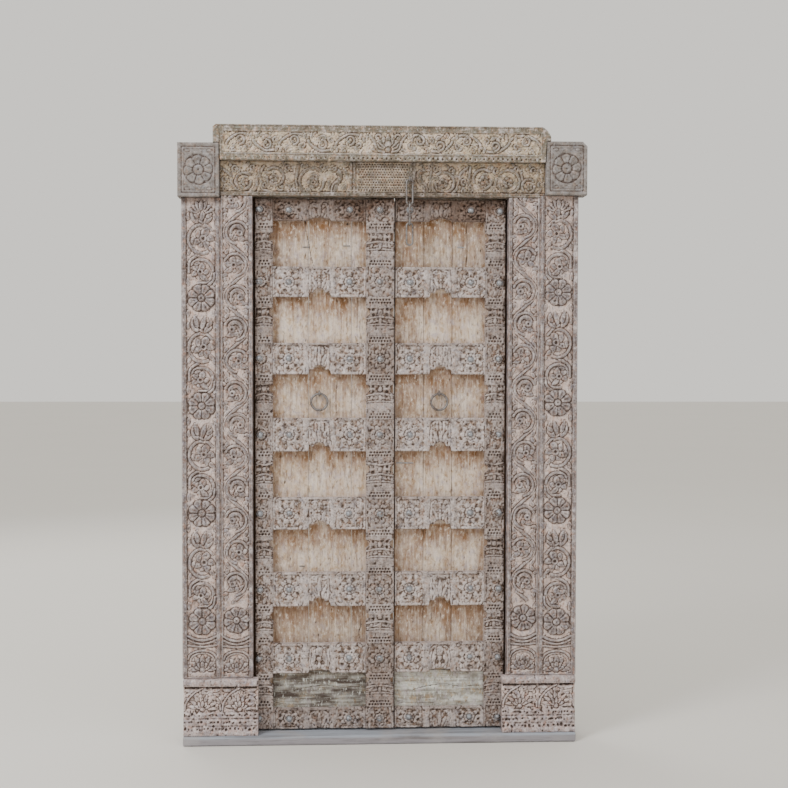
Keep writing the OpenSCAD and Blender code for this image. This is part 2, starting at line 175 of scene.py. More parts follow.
class Carving:
    """Height map of a carved face, in millimetres, one cell to a millimetre.

    Heights count from the deepest cut forwards, up to depth."""

    def __init__(self, x, z, depth, ground):
        self.depth, self.ground, self.floor = depth, ground, ground * 0.3
        self.x0, self.z0 = round(x[0]) - 6, round(z[0]) - 6
        shape = (int(z[1] - z[0]) + 14, int(x[1] - x[0]) + 14)
        self.h = np.full(shape, float(ground))
        # Grime and painted shadow over the face, 0 for none.
        self.grime_and_shadow = 0.0
        self.lay_out()

    def lay_out(self):
        self.x = self.x0 + np.arange(self.h.shape[1])[None, :]
        self.z = self.z0 + np.arange(self.h.shape[0])[:, None]

    def mirrored(self):
        """The same carving for the other side of the door."""
        self.h = self.h[:, ::-1].copy()
        self.x0 = -(self.x0 + self.h.shape[1] - 1)
        self.lay_out()
        return self

    def near(self, x, z, r):
        """The cells about (x, z), as a view, with their places."""
        k = [int(np.clip(z + s * (r + 1) - self.z0, 0, self.h.shape[0])) for s in (-1, 1)]
        i = [int(np.clip(x + s * (r + 1) - self.x0, 0, self.h.shape[1])) for s in (-1, 1)]
        rows, cols = slice(k[0], k[1] + 1), slice(i[0], i[1] + 1)
        return self.h[rows, cols], self.x[:, cols], self.z[rows]

    def stretches(self, points, half):
        """The cells along points, a short stretch at a time, with how far out they lie: 1 is at half."""
        for s in range(0, len(points) - 1, 8):
            p, w = points[s:s + 9], half[s:s + 9]
            mid, reach = (p.min(0) + p.max(0)) / 2, np.ptp(p, axis=0).max() / 2 + w.max()
            cells, x, z = self.near(*mid, reach)
            if cells.size:
                yield cells, (np.hypot(x[..., None] - p[:, 0], z[..., None] - p[:, 1]) / w).min(-1)

    def stem(self, points, half, high, groove=0.0, moat=2.2):
        """Raised round-backed band along points, cut free of what lies under it; groove lines its middle."""
        points = np.asarray(points, float)
        half = np.broadcast_to(np.asarray(half, float), len(points))
        for cells, t in self.stretches(points, half + moat):
            np.minimum(cells, np.where(t < 1, self.floor, 99), out=cells)
        for cells, t in self.stretches(points, half):
            rise = high * (1 - np.clip(t, 0, 1) ** 4) - groove * np.exp(-(t / 0.32) ** 2)
            np.maximum(cells, np.where(t < 1, rise, -9), out=cells)

    def cut(self, points, half, deep):
        """Groove along points, as of a crack or a scored line."""
        face, self.h = self.h, np.zeros_like(self.h)
        self.stem(points, half, 1.0, 0.0, 0.0)
        self.h = face - deep * self.h

    def clear(self, x, z, r):
        """Sinks a round spot, so that what is carved next stands free."""
        cells, gx, gz = self.near(x, z, r)
        np.minimum(cells, np.where(np.hypot(gx - x, gz - z) < r, self.floor, 99), out=cells)

    def dome(self, x, z, r, high, low=0.0, moat=0.0):
        if moat:
            self.clear(x, z, r + moat)
        cells, gx, gz = self.near(x, z, r)
        d = np.hypot(gx - x, gz - z) / r
        rise = low + (high - low) * np.sqrt(np.clip(1 - d * d, 0, 1))
        np.maximum(cells, np.where(d < 1, rise, -9), out=cells)

    def pit(self, x, z, r, deep):
        cells, gx, gz = self.near(x, z, r)
        cells -= deep * smooth_step(1.8 * (1 - np.hypot(gx - x, gz - z) / r))

    def leaf(self, x, z, angle, length, width, high, bend=0.0, moat=1.8):
        """A pointed, veined leaf from (x, z) that turns by bend over its length."""
        n = max(6, int(length / 2))
        t = np.linspace(0, 1, n)
        a = np.radians(angle + bend * t)
        line = np.column_stack([x + np.cumsum(np.cos(a)) * length / n, z + np.cumsum(np.sin(a)) * length / n])
        self.stem(line, 0.8 + width * np.sin(np.pi * t ** 0.75), high, high * 0.4, moat)

    def curl(self, x, z, r, start, sweep, half, high):
        """A scroll that winds in to a round bud."""
        line = scroll_line(x, z, r - half, r * 0.4, start, sweep)
        self.stem(line, np.linspace(half, half * 0.7, len(line)), high, high * 0.3)
        self.dome(*line[-1], half * 1.5, high, 0, 1.5)
        self.pit(*line[-1], half * 0.7, high * 0.6)

    def blossom(self, x, z, r, turn, high):
        """Flower of five round lobes with a drilled eye."""
        self.clear(x, z, r + 1.5)
        for k in range(5):
            a = math.radians(turn + k * 72)
            lobe = r * (0.45 if k % 2 else 0.38)
            self.dome(x + (r - lobe) * math.cos(a), z + (r - lobe) * math.sin(a), lobe, high, high * 0.3, 1.2)
        self.dome(x, z, r * 0.42, high, high * 0.6, 1.0)
        self.pit(x, z, r * 0.3, high)

    def bloom(self, x, z, r, turn, high, way=1, tall=1.0):
        """Full bud of a scroll: broad lobes about a deep eye, with a pointed lip."""
        self.clear(x, z, r * 0.7)
        lobes = ((180, 0.62, 0.24), (128, 0.8, 0.3), (-70, 0.78, 0.3), (70, 0.85, 0.32), (-128, 1.08, 0.26),
                 (0, 0.72, 0.36))
        for a, long, wide in lobes:
            t = math.radians(turn + a * way)
            c, s = math.cos(t), math.sin(t) * tall
            self.leaf(x + r * 0.16 * c, z + r * 0.16 * s, math.degrees(math.atan2(s, c)),
                      r * long * math.hypot(c, s), r * wide, high * 0.95, 50 * way, 1.6)
        self.dome(x, z, r * 0.34, high, high * 0.55, 1.2)
        self.pit(x, z, r * 0.24, high)

    def hook(self, x, z, r, turn, high, way=1):
        """Acanthus head that rolls over to a bud, with a berry and a pointed lip below."""
        side = math.cos(math.radians(turn))
        self.clear(x, z, r * 0.95)
        self.leaf(x - r * 0.25 * side, z - r * 0.1, turn - 62 * way, r * 1.35, r * 0.34,
                  high * 0.9, 55 * way, 2.0)
        self.leaf(x - r * 0.75 * side, z - r * 0.75, turn + 100 * way, r * 1.3, r * 0.2,
                  high * 0.85, -30 * way, 2.0)
        line = scroll_line(x - r * 0.05 * side, z + r * 0.1, r * 0.78, r * 0.3, turn + 190 * way, -225 * way)
        self.stem(line, np.linspace(r * 0.12, r * 0.36, len(line)), high, high * 0.4, 2.6)
        self.dome(*line[-1], r * 0.38, high, high * 0.5, 1.0)
        self.pit(*line[-1], r * 0.18, high * 0.8)
        self.dome(x - r * 0.3 * side, z - r * 0.62, r * 0.25, high, high * 0.3, 2.0)
        self.pit(x - r * 0.3 * side, z - r * 0.62, r * 0.11, high * 0.6)

    def scatter(self, x, z, pitch, high, rng):
        """Small leaves over a field, for the main motifs to stand on."""
        for px in np.arange(x[0] + pitch / 2, x[1], pitch):
            for pz in np.arange(z[0] + pitch / 2, z[1], pitch):
                jog = rng.uniform(-0.25, 0.25, 2) * pitch
                self.leaf(px + jog[0], pz + jog[1], rng.uniform(0, 360), pitch * 0.95, pitch * 0.2,
                          high * rng.uniform(0.65, 0.9), rng.uniform(-70, 70), 2.0)

    def rosette(self, x, z, r, petals, high, hub=0.28, turn=0.0):
        """Open flower of equal round-ended petals, dished towards a round hub."""
        self.clear(x, z, r + 2.5)
        cells, gx, gz = self.near(x, z, r)
        d, a = np.hypot(gx - x, gz - z), np.arctan2(gz - z, gx - x) - math.radians(turn)
        ridge = np.abs(np.cos(petals * a / 2))
        t = d / (r * (0.76 + 0.24 * ridge ** 0.5))
        gap = np.clip(ridge * d * 0.13, 0, 1) ** 0.8
        rise = high * (0.2 + 0.8 * gap) * (0.7 + 0.3 * np.clip(t, 0, 1))
        rise *= np.clip((1 - t) * 12, 0, 1) ** 0.5 * np.clip((d / r - hub * 0.95) * 14, 0.25, 1)
        np.maximum(cells, np.where(t < 1, rise, -9), out=cells)
        rise = cells - 0.14 * high * np.cos(petals * a * 2) * (t > hub) * (t < 0.95)
        np.copyto(cells, rise)
        self.dome(x, z, r * hub * 0.8, high * 0.95, high * 0.5)
        self.pit(x, z, r * hub * 0.3, high * 0.4)

    def lotus(self, x, z, r, petals, high, turn=0.0, squeeze=1.0):
        """Pointed petals in two tiers, the lower ones showing between the upper."""
        for tier, (out, long, wide, rise) in enumerate(((0.3, 0.66, 0.15, 0.75), (0.22, 0.6, 0.19, 1.0))):
            for k in range(petals):
                a = turn + (k + 0.5 * (1 - tier)) * 360 / petals
                c, s = math.cos(math.radians(a)), math.sin(math.radians(a)) * squeeze
                self.leaf(x + r * out * c, z + r * out * s, math.degrees(math.atan2(s, c)),
                          r * long * math.hypot(c, s), r * wide, high * rise, 0, 1.4)

    def fan(self, x, z, angles, length, width, high):
        """Leaves that spread from near one point, the outer ones first."""
        for a in sorted(angles, key=lambda v: -abs(v - 90)):
            c, s = math.cos(math.radians(a)), math.sin(math.radians(a))
            self.leaf(x + c * length * 0.25, z + s * length * 0.25, a, length * 0.8, width, high,
                      (a - 90) * 0.25)

    def level(self, x, z, high):
        """Cuts or fills a rectangle to one height."""
        inside = (self.x > x[0]) & (self.x < x[1]) & (self.z > z[0]) & (self.z < z[1])
        self.h[inside] = high

    def band(self, x, z, high, ease=1.5):
        """Raised level strip over the rectangle, with eased edges."""
        rows = np.clip(np.minimum(self.z - z[0], z[1] - self.z) / ease + 0.5, 0, 1)
        cols = np.clip(np.minimum(self.x - x[0], x[1] - self.x) / ease + 0.5, 0, 1)
        np.maximum(self.h, high * smooth_step(rows * cols), out=self.h)

    def line(self, deep, wide, x=None, z=None, span=None):
        """Scored groove, upright at x or level at z, over span."""
        across, along = (self.z - z, self.x) if x is None else (self.x - x, self.z)
        inside = 1.0 if span is None else (along > span[0]) & (along < span[1])
        self.h -= deep * np.exp(-(across / wide) ** 2) * inside

    def lattice(self, x, z, pitch, deep):
        """Rows of small drilled holes, set as a net."""
        rows, cols = (max(1, round((s[1] - s[0]) / pitch)) for s in (z, x))
        dz, dx = (z[1] - z[0]) / rows, (x[1] - x[0]) / cols
        for k in range(rows):
            for i in range(cols - k % 2):
                self.pit(x[0] + dx * (i + 0.5 + (k % 2) / 2), z[0] + dz * (k + 0.5), pitch * 0.5, deep)

    def frame_line(self, x, z, inset, deep, wide):
        """Scored rectangle."""
        a, b, c, d = x[0] + inset, x[1] - inset, z[0] + inset, z[1] - inset
        for px in (a, b):
            self.line(deep, wide, x=px, span=(c, d))
        for pz in (c, d):
            self.line(deep, wide, z=pz, span=(a, b))

    def weather(self, rng, rub=0.25, chips=0.0, tool=1.0, along=(26, 3)):
        """Rubbed high points, tool marks, open grain and chipped spots."""
        shape = self.h.shape
        worn = soft_noise(rng, shape, (70, 34)) ** 1.5
        self.h = self.ground + (self.h - self.ground) * (1 - rub * worn)
        marks = (soft_noise(rng, shape, (9, 6)) - 0.5) * 1.2 + (soft_noise(rng, shape, along) - 0.5) * 0.8
        self.h += tool * marks
        if chips:
            patch = smooth_step((soft_noise(rng, shape, (13, 10)) - 0.83) * 9)
            self.h -= chips * patch * (self.h > self.depth * 0.5)
        self.h = np.clip(blur(self.h, 1), 0.0, self.depth)
        return self

    def sample(self, field, x, z):
        """Bilinear reading of a field at the places x, z."""
        fx = np.clip(x - self.x0, 0, self.h.shape[1] - 1.001)
        fz = np.clip(z - self.z0, 0, self.h.shape[0] - 1.001)
        i, k = fx.astype(int), fz.astype(int)
        u, v = fx - i, fz - k
        low = field[k, i] * (1 - u) + field[k, i + 1] * u
        high = field[k + 1, i] * (1 - u) + field[k + 1, i + 1] * u
        return low * (1 - v) + high * v


# ---------------------------------------------------------------- boards

def ruled(a, b, step):
    """Evenly spaced places from a to b."""
    return np.linspace(a, b, max(3, round((b - a) / step) + 1))


def edge_at(edge, places):
    """Where an edge lies at each place; a plain number is a straight edge."""
    return np.array([edge(p) if callable(edge) else edge for p in places])


def upright_grid(x, bottom, top, step, tall=None):
    """Grid whose columns run between two edges that may depend on x."""
    cols = ruled(*x, step)
    low, high = edge_at(bottom, cols), edge_at(top, cols)
    t = ruled(0, 1, (tall or step) / (high - low).max())[:, None]
    return np.broadcast_to(cols, (len(t), len(cols))).copy(), low + (high - low) * t


def level_grid(z, left, right, step):
    """Grid whose rows run between two edges that may depend on z."""
    rows = ruled(*z, step)
    low, high = edge_at(left, rows)[:, None], edge_at(right, rows)[:, None]
    t = ruled(0, 1, step / (high - low).max())
    return low + (high - low) * t, np.broadcast_to(rows[:, None], (len(rows), len(t))).copy()


def board(name, carving, places, front, back, ease=2.5, extra=None):
    """Closed board from front to back: the carving stands on a grid of places, with a flat rear."""
    xs, zs = places
    rows, cols = xs.shape
    heights = carving.sample(carving.h, xs, zs)
    rim_x = np.minimum(np.abs(xs - xs[:, :1]), np.abs(xs[:, -1:] - xs))
    rim_z = np.minimum(np.abs(zs - zs[:1]), np.abs(zs[-1:] - zs))
    rim = np.clip(1 - np.minimum(rim_x, rim_z) / ease, 0, 1)
    y = front + carving.depth - np.clip(heights - ease * 0.7 * rim ** 2, -3, carving.depth)
    ring = np.concatenate([
        np.arange(cols - 1), cols - 1 + cols * np.arange(rows - 1),
        rows * cols - 1 - np.arange(cols - 1), cols * np.arange(rows - 1, 0, -1)
    ])
    flat_x, flat_z = xs.ravel(), zs.ravel()
    face = np.column_stack([flat_x, y.ravel(), flat_z])
    rear = np.column_stack([flat_x[ring], np.full(len(ring), float(back)), flat_z[ring]])
    i, k = np.meshgrid(np.arange(cols - 1), np.arange(rows - 1))
    a = (k * cols + i).ravel()
    quads = np.column_stack([a, a + 1, a + cols + 1, a + cols])
    n, base = len(ring), rows * cols
    here, there = np.arange(n), (np.arange(n) + 1) % n
    sides = np.column_stack([ring[there], ring[here], base + here, base + there])
    corners = np.concatenate([quads.ravel(), sides.ravel(), base + np.arange(n)[::-1]])
    faces = len(quads) + n
    mesh = bpy.data.meshes.new(name)
    mesh.vertices.add(base + n)
    mesh.vertices.foreach_set("co", (np.vstack([face, rear]) * MM).ravel())
    mesh.loops.add(len(corners))
    mesh.loops.foreach_set("vertex_index", corners)
    mesh.polygons.add(faces + 1)
    mesh.polygons.foreach_set("loop_start", 4 * np.arange(faces + 1))
    mesh.polygons.foreach_set("use_smooth", np.arange(faces + 1) < len(quads))
    mesh.update(calc_edges=True)
    mesh.validate()
    # How far each point lies below its near and its wide surroundings: the finishes paint shade, dirt and rim
    # highlights from these.
    near, far = blur(carving.h, 3), blur(carving.h, 9)
    fields = {"rise": carving.h / carving.depth, "hollow": (near - carving.h) / 3,
              "shade": (far - carving.h) / 6, "grime_and_shadow": np.zeros_like(carving.h) + carving.grime_and_shadow}
    for label, field in {**fields, **(extra or {})}.items():
        values = carving.sample(field, xs, zs).ravel()
        plain = np.full(n, 0.6 if label == "rise" else 0.0)
        layer = mesh.attributes.new(label, "FLOAT", "POINT")
        layer.data.foreach_set("value", np.concatenate([values, plain]))
    piece = bpy.data.objects.new(name, mesh)
    bpy.context.scene.collection.objects.link(piece)
    return piece


def place(piece, material, slot, *nodes):
    """Dresses a piece, lets it stand for its nodes and makes it ride with them."""
    piece.data.materials.clear()
    piece.data.materials.append(material)
    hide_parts(*nodes)
    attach(piece, frame["nodes"][nodes[0]]["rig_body"])
    return piece


# ---------------------------------------------------------------- finishes

class Finish:
    """One procedural material on Object coordinates, in metres."""

    def __init__(self, name, rough=0.85, metal=0.0, specular=0.2):
        self.material = bpy.data.materials.new(name)
        self.material.use_nodes = True
        self.tree = self.material.node_tree
        self.surface = self.tree.nodes["Principled BSDF"]
        self.surface.inputs["Roughness"].default_value = rough
        self.surface.inputs["Metallic"].default_value = metal
        self.surface.inputs["Specular IOR Level"].default_value = specular
        self.coords = self.tree.nodes.new("ShaderNodeTexCoord").outputs["Object"]

    def join(self, value, socket):
        if isinstance(value, bpy.types.NodeSocket):
            self.tree.links.new(value, socket)
        else:
            socket.default_value = value

    def node(self, kind, **inputs):
        made = self.tree.nodes.new(kind)
        for label, value in inputs.items():
            self.join(value, made.inputs[label.replace("_", " ")])
        return made

    def noise(self, scale, detail=4.0, rough=0.55, stretch=(1, 1, 1), distort=0.0):
        """Fractal noise about 0.5, drawn out where stretch is small."""
        spread = self.node("ShaderNodeMapping", Vector=self.coords, Scale=stretch)
        made = self.node("ShaderNodeTexNoise", Vector=spread.outputs[0], Scale=scale, Detail=detail,
                         Roughness=rough, Distortion=distort)
        return made.outputs["Fac"]

    def field(self, name):
        """A value stored on the mesh."""
        made = self.tree.nodes.new("ShaderNodeAttribute")
        made.attribute_name = name
        return made.outputs["Fac"]

    def place_z(self):
        return self.node("ShaderNodeSeparateXYZ", Vector=self.coords).outputs["Z"]

    def maths(self, operation, a, b=0.0):
        made = self.tree.nodes.new("ShaderNodeMath")
        made.operation = operation
        self.join(a, made.inputs[0])
        self.join(b, made.inputs[1])
        return made.outputs[0]

    def ease(self, value, start, end, low=0.0, high=1.0):
        """Eases from low to high as value goes from start to end."""
        turned = start > end
        made = self.node("ShaderNodeMapRange", Value=value, From_Min=min(start, end),
                         From_Max=max(start, end), To_Min=high if turned else low,
                         To_Max=low if turned else high)
        made.interpolation_type = "SMOOTHSTEP"
        return made.outputs[0]

    def mix(self, amount, a, b, blend="MIX"):
        made = self.tree.nodes.new("ShaderNodeMix")
        made.data_type = "RGBA"
        made.blend_type = blend
        self.join(amount, made.inputs[0])
        for socket, value in ((made.inputs[6], a), (made.inputs[7], b)):
            self.join(value if isinstance(value, bpy.types.NodeSocket) else (*value[:3], 1), socket)
        return made.outputs[2]

    def done(self, colour, bump, strength=0.4, depth=1.0):
        """Joins up the colour and a bump of depth millimetres."""
        self.join(colour, self.surface.inputs["Base Color"])
        relief = self.node("ShaderNodeBump", Height=bump, Strength=strength, Distance=depth * MM)
        self.join(relief.outputs[0], self.surface.inputs["Normal"])
        return self.material


def carved_wood(name, tones, warm, cool, wear=1.0, grain=(1, 1, 0.1), cuts=0.9):
    """Limewashed carving: pale ground, greyer motifs, painted highlights on the rubbed rims, dirt and painted
    shade where the chisel turned.
    """
    ground, motif, dirt, limewash_and_highlight, stain = tones
    f = Finish(name)
    rise, hollow, shade = f.field("rise"), f.field("hollow"), f.field("shade")
    cloud = f.noise(5.0, 4.0)
    mottle = f.noise(38.0, 6.0, 0.62)
    hue = f.noise(64.0, 3.0, 0.6, (1, 1.3, 0.9), 0.6)
    fleck = f.noise(150.0, 5.0, 0.7)
    fibre = f.noise(340.0, 3.0, 0.6, grain)
    ground = f.mix(f.ease(cloud, 0.42, 0.7, 0.0, 0.6), ground, stain)
    base = f.mix(f.ease(rise, 0.36, 0.56), ground, motif)
    base = f.mix(f.ease(hue, 0.52, 0.68, 0.0, 0.6), base, warm)
    base = f.mix(f.ease(hue, 0.46, 0.32, 0.0, 0.55), base, cool)
    base = f.mix(f.ease(mottle, 0.49, 0.72, 0.0, 0.65), base, limewash_and_highlight)
    base = f.mix(f.ease(mottle, 0.5, 0.29, 0.0, 0.62 * wear), base, dirt)
    # Painted highlight: the limewash colour on the convex rims, where hollow is below zero.
    base = f.mix(f.ease(hollow, -0.15, -0.6, 0.0, 0.3), base, limewash_and_highlight)
    # Painted shade: the dirt colour laid into the broad hollows.
    base = f.mix(f.ease(shade, 0.05, 0.6, 0.0, 0.45), base, dirt)
    # Dirt and painted shade in the cuts beside the motifs.
    base = f.mix(f.ease(hollow, 0.03, 0.42, 0.0, cuts), base, dirt)
    base = f.mix(f.ease(fleck, 0.53, 0.72, 0.0, 0.8 * wear), base, limewash_and_highlight)
    base = f.mix(f.ease(fleck, 0.48, 0.27, 0.0, 0.85 * wear), base, dirt)
    # Grime and painted shadow, multiplied in, heaviest where a board lies under the lintel.
    grimed_and_shadowed = f.maths("MULTIPLY", f.field("grime_and_shadow"), f.ease(cloud, 0.62, 0.36, 0.7, 1.3))
    base = f.mix(grimed_and_shadowed, base, tint(150, 136, 126), "MULTIPLY")
    base = f.mix(f.ease(fibre, 0.45, 0.8, 0.0, 0.25), base, dirt)
    bump = f.maths("ADD", f.maths("MULTIPLY", fleck, 0.9), f.maths("MULTIPLY", fibre, 0.5))
    return f.done(base, bump, 0.6, 1.5)


def plank_wood(name, pale, tan, warm, stain, dirt, grain):
    """Plain boards: scraped pale wood with fine streaks, rusty brown stains with painted shadow under the
    rails, and dark cracks.
    """
    f = Finish(name, rough=0.8)
    hollow, stain_and_shadow, tone = f.field("hollow"), f.field("stain"), f.field("tone")
    streak = f.noise(34.0, 6.0, 0.65, grain, 0.3)
    fine = f.noise(170.0, 5.0, 0.7, grain)
    patch = f.noise(11.0, 5.0, 0.62)
    fleck = f.noise(110.0, 5.0, 0.72, (1, 1, 0.5))
    blotch = f.noise(46.0, 5.0, 0.68, (1, 1, 0.6), 0.5)
    base = f.mix(f.ease(streak, 0.36, 0.64), pale, tan)
    base = f.mix(f.ease(patch, 0.46, 0.66, 0.0, 0.5), base, warm)
    base = f.mix(f.ease(patch, 0.48, 0.3, 0.0, 0.45), base, tan)
    base = f.mix(f.ease(blotch, 0.5, 0.3, 0.0, 0.6), base, stain)
    base = f.mix(f.ease(blotch, 0.53, 0.7, 0.0, 0.8), base, pale)
    hue = f.noise(58.0, 4.0, 0.65, (1, 1, 0.7), 0.4)
    base = f.mix(f.ease(hue, 0.52, 0.66, 0.0, 0.7), base, tint(192, 180, 184))
    base = f.mix(f.ease(hue, 0.48, 0.34, 0.0, 0.7), base, tint(186, 156, 118))
    base = f.mix(f.maths("MULTIPLY", tone, f.ease(streak, 0.2, 0.7, 0.5, 1.0)), base, dirt)
    # Rusty stain with painted shadow below the rails and beside the stiles.
    base = f.mix(f.maths("MULTIPLY", stain_and_shadow, f.ease(blotch, 0.3, 0.7, 0.95, 0.6)), base, stain)
    base = f.mix(f.ease(fine, 0.5, 0.7, 0.0, 0.6), base, dirt)
    base = f.mix(f.ease(fine, 0.47, 0.3, 0.0, 0.5), base, pale)
    base = f.mix(f.ease(fleck, 0.53, 0.7, 0.0, 0.85), base, pale)
    base = f.mix(f.ease(fleck, 0.47, 0.3, 0.0, 0.75), base, dirt)
    base = f.mix(f.ease(hollow, 0.08, 0.3), base, tint(58, 44, 36))
    bump = f.maths("ADD", f.maths("MULTIPLY", fine, 1.0), f.maths("MULTIPLY", fleck, 0.3))
    return f.done(base, bump, 0.6, 1.2)


def sawn_wood(name, light, dark, grain):
    """Plain squared timber with long grain and grime."""
    f = Finish(name, rough=0.85)
    streak = f.noise(18.0, 5.0, 0.6, grain, 0.4)
    fine = f.noise(160.0, 4.0, 0.65, grain)
    grime = f.noise(6.0, 5.0, 0.6)
    base = f.mix(f.ease(streak, 0.3, 0.7), light, dark)
    base = f.mix(f.ease(fine, 0.45, 0.8, 0.0, 0.5), base, dark)
    base = f.mix(f.ease(grime, 0.45, 0.75, 0.0, 0.5), base, dark)
    return f.done(base, fine, 0.5, 1.2)


def threshold_wood(name, top, front, dirt, pale):
    """Sill: grey top painted lighter and cooler as lit from above, browner front with pale rubbed streaks."""
    f = Finish(name, rough=0.75)
    grain = (0.05, 1, 1)
    streak = f.noise(40.0, 5.0, 0.6, grain, 0.2)
    fine = f.noise(260.0, 3.0, 0.6, grain)
    patch = f.noise(7.0, 5.0, 0.6)
    # Painted light: the upward top lighter and cooler than the front.
    base = f.mix(f.ease(f.place_z(), 0.020, 0.029), front, top)
    base = f.mix(f.ease(streak, 0.45, 0.7, 0.0, 0.7), base, dirt)
    base = f.mix(f.ease(patch, 0.5, 0.72, 0.0, 0.7), base, pale)
    base = f.mix(f.ease(fine, 0.5, 0.8, 0.0, 0.5), base, dirt)
    return f.done(base, f.maths("ADD", fine, streak), 0.5, 1.2)


def forged_iron(name, metal, rust, rubbed_glint):
    """Old hammered iron: blue-grey, rusted in patches, rubbed bright with painted glints in spots."""
    f = Finish(name, rough=0.45, metal=0.6, specular=0.5)
    patch = f.noise(90.0, 5.0, 0.65)
    grit = f.noise(420.0, 4.0, 0.6)
    base = f.mix(f.ease(patch, 0.45, 0.66), metal, rust)
    # Rubbed spots and painted glints: small bright specks.
    base = f.mix(f.ease(grit, 0.58, 0.8, 0.0, 0.7), base, rubbed_glint)
    return f.done(base, f.maths("ADD", grit, patch), 0.6, 0.6)


def plain_floor(name, colour):
    """Even, faintly clouded studio floor."""
    f = Finish(name, rough=0.9)
    cloud = f.noise(0.8, 3.0)
    return f.done(f.mix(f.ease(cloud, 0.2, 0.8, 0.0, 0.15), colour, tint(214, 211, 204)), cloud, 0.05, 0.5)


# ---------------------------------------------------------------- settings

def colour_of(name, description, *rgb):
    return FloatVectorProperty(name=name, description=description, default=tint(*rgb), min=0, max=1, size=3,
                               subtype="COLOR")


def length_of(name, description, millimetres, low, high):
    return FloatProperty(name=name, description=description, default=millimetres * MM, min=low * MM,
                         max=high * MM, subtype="DISTANCE", unit="LENGTH")


class DoorColours(bpy.types.PropertyGroup):
    """Colours of the woods and the iron."""

    frame_ground: colour_of("Frame ground", "Limewashed ground of the frame's carving", 226, 207, 199)
    frame_motif: colour_of("Frame motifs", "Worn tops of the frame's carving", 130, 120, 119)
    frame_stain: colour_of("Frame stain", "Rosy brown cloud on the frame", 158, 128, 114)
    # Also the colour of the painted shade in the carving's cuts and hollows.
    dirt: colour_of("Dirt", "Dirt in the cuts of the carving", 72, 59, 52)
    # Also the painted highlight on the carving's rims.
    limewash_and_highlight: colour_of("Limewash", "Limewash left on rims and rubbed spots", 232, 223, 221)
    lintel_ground: colour_of("Lintel ground", "Sandy ground of the lintels", 214, 196, 172)
    lintel_motif: colour_of("Lintel motifs", "Worn tops of the lintels' carving", 122, 113, 99)
    block_ground: colour_of("Corner blocks", "Lilac grey of the corner blocks", 146, 136, 133)
    block_motif: colour_of("Block rosettes", "Tops of the blocks' rosettes", 134, 128, 124)
    leaf_ground: colour_of("Rail ground", "Ground of the rails and stiles", 156, 138, 126)
    leaf_motif: colour_of("Rail motifs", "Tops of the rails' carving", 192, 181, 177)
    panel_pale: colour_of("Panel, pale", "Scraped wood of the planks", 228, 214, 201)
    panel_tan: colour_of("Panel, tan", "Warm streaks of the planks", 202, 178, 158)
    # Also painted shadow below the rails and beside the stiles.
    panel_stain_and_shadow: colour_of("Panel stain", "Rusty stain below each rail", 124, 88, 56)
    # Painted light: lighter and cooler than the front, as the top is lit from above.
    sill_lit_top: colour_of("Sill top", "Foot-worn top of the sill", 160, 166, 176)
    sill_front: colour_of("Sill front", "Front of the sill", 150, 147, 152)
    timber: colour_of("Plain timber", "Back timbers", 126, 103, 82)
    iron: colour_of("Iron", "Forged iron", 132, 129, 128)
    rust: colour_of("Rust", "Rust on the iron", 92, 78, 70)
    floor: colour_of("Floor", "Studio floor", 226, 223, 217)


class DoorSizes(bpy.types.PropertyGroup):
    """How deep and how fine the carving is."""

    step: length_of("Fineness", "Spacing of the mesh on a carved face", 2.65, 2.5, 8)
    frame_depth: length_of("Frame relief", "Depth of the frame's carving", 12, 5, 18)
    lintel_depth: length_of("Lintel relief", "Depth of the lintels' carving", 10, 4, 16)
    leaf_depth: length_of("Rail relief", "Depth of the rails' and stiles' carving", 10, 4, 16)
    block_depth: length_of("Block relief", "Depth of the corner blocks' carving", 8, 4, 14)
    boss_facets: IntProperty(name="Boss facets", description="Sides of each iron boss", default=18,
                             min=8, max=32)
    camera_distance: FloatProperty(name="Camera distance", description="Distance from the camera to the door",
                                   default=4.5, min=2, max=9, unit="LENGTH")


def colours():
    return bpy.context.scene.door_colours


def sizes():
    return bpy.context.scene.door_sizes


def depth_and_step(name):
    """A depth setting and the mesh's fineness, in millimetres."""
    return getattr(sizes(), name) / MM, sizes().step / MM


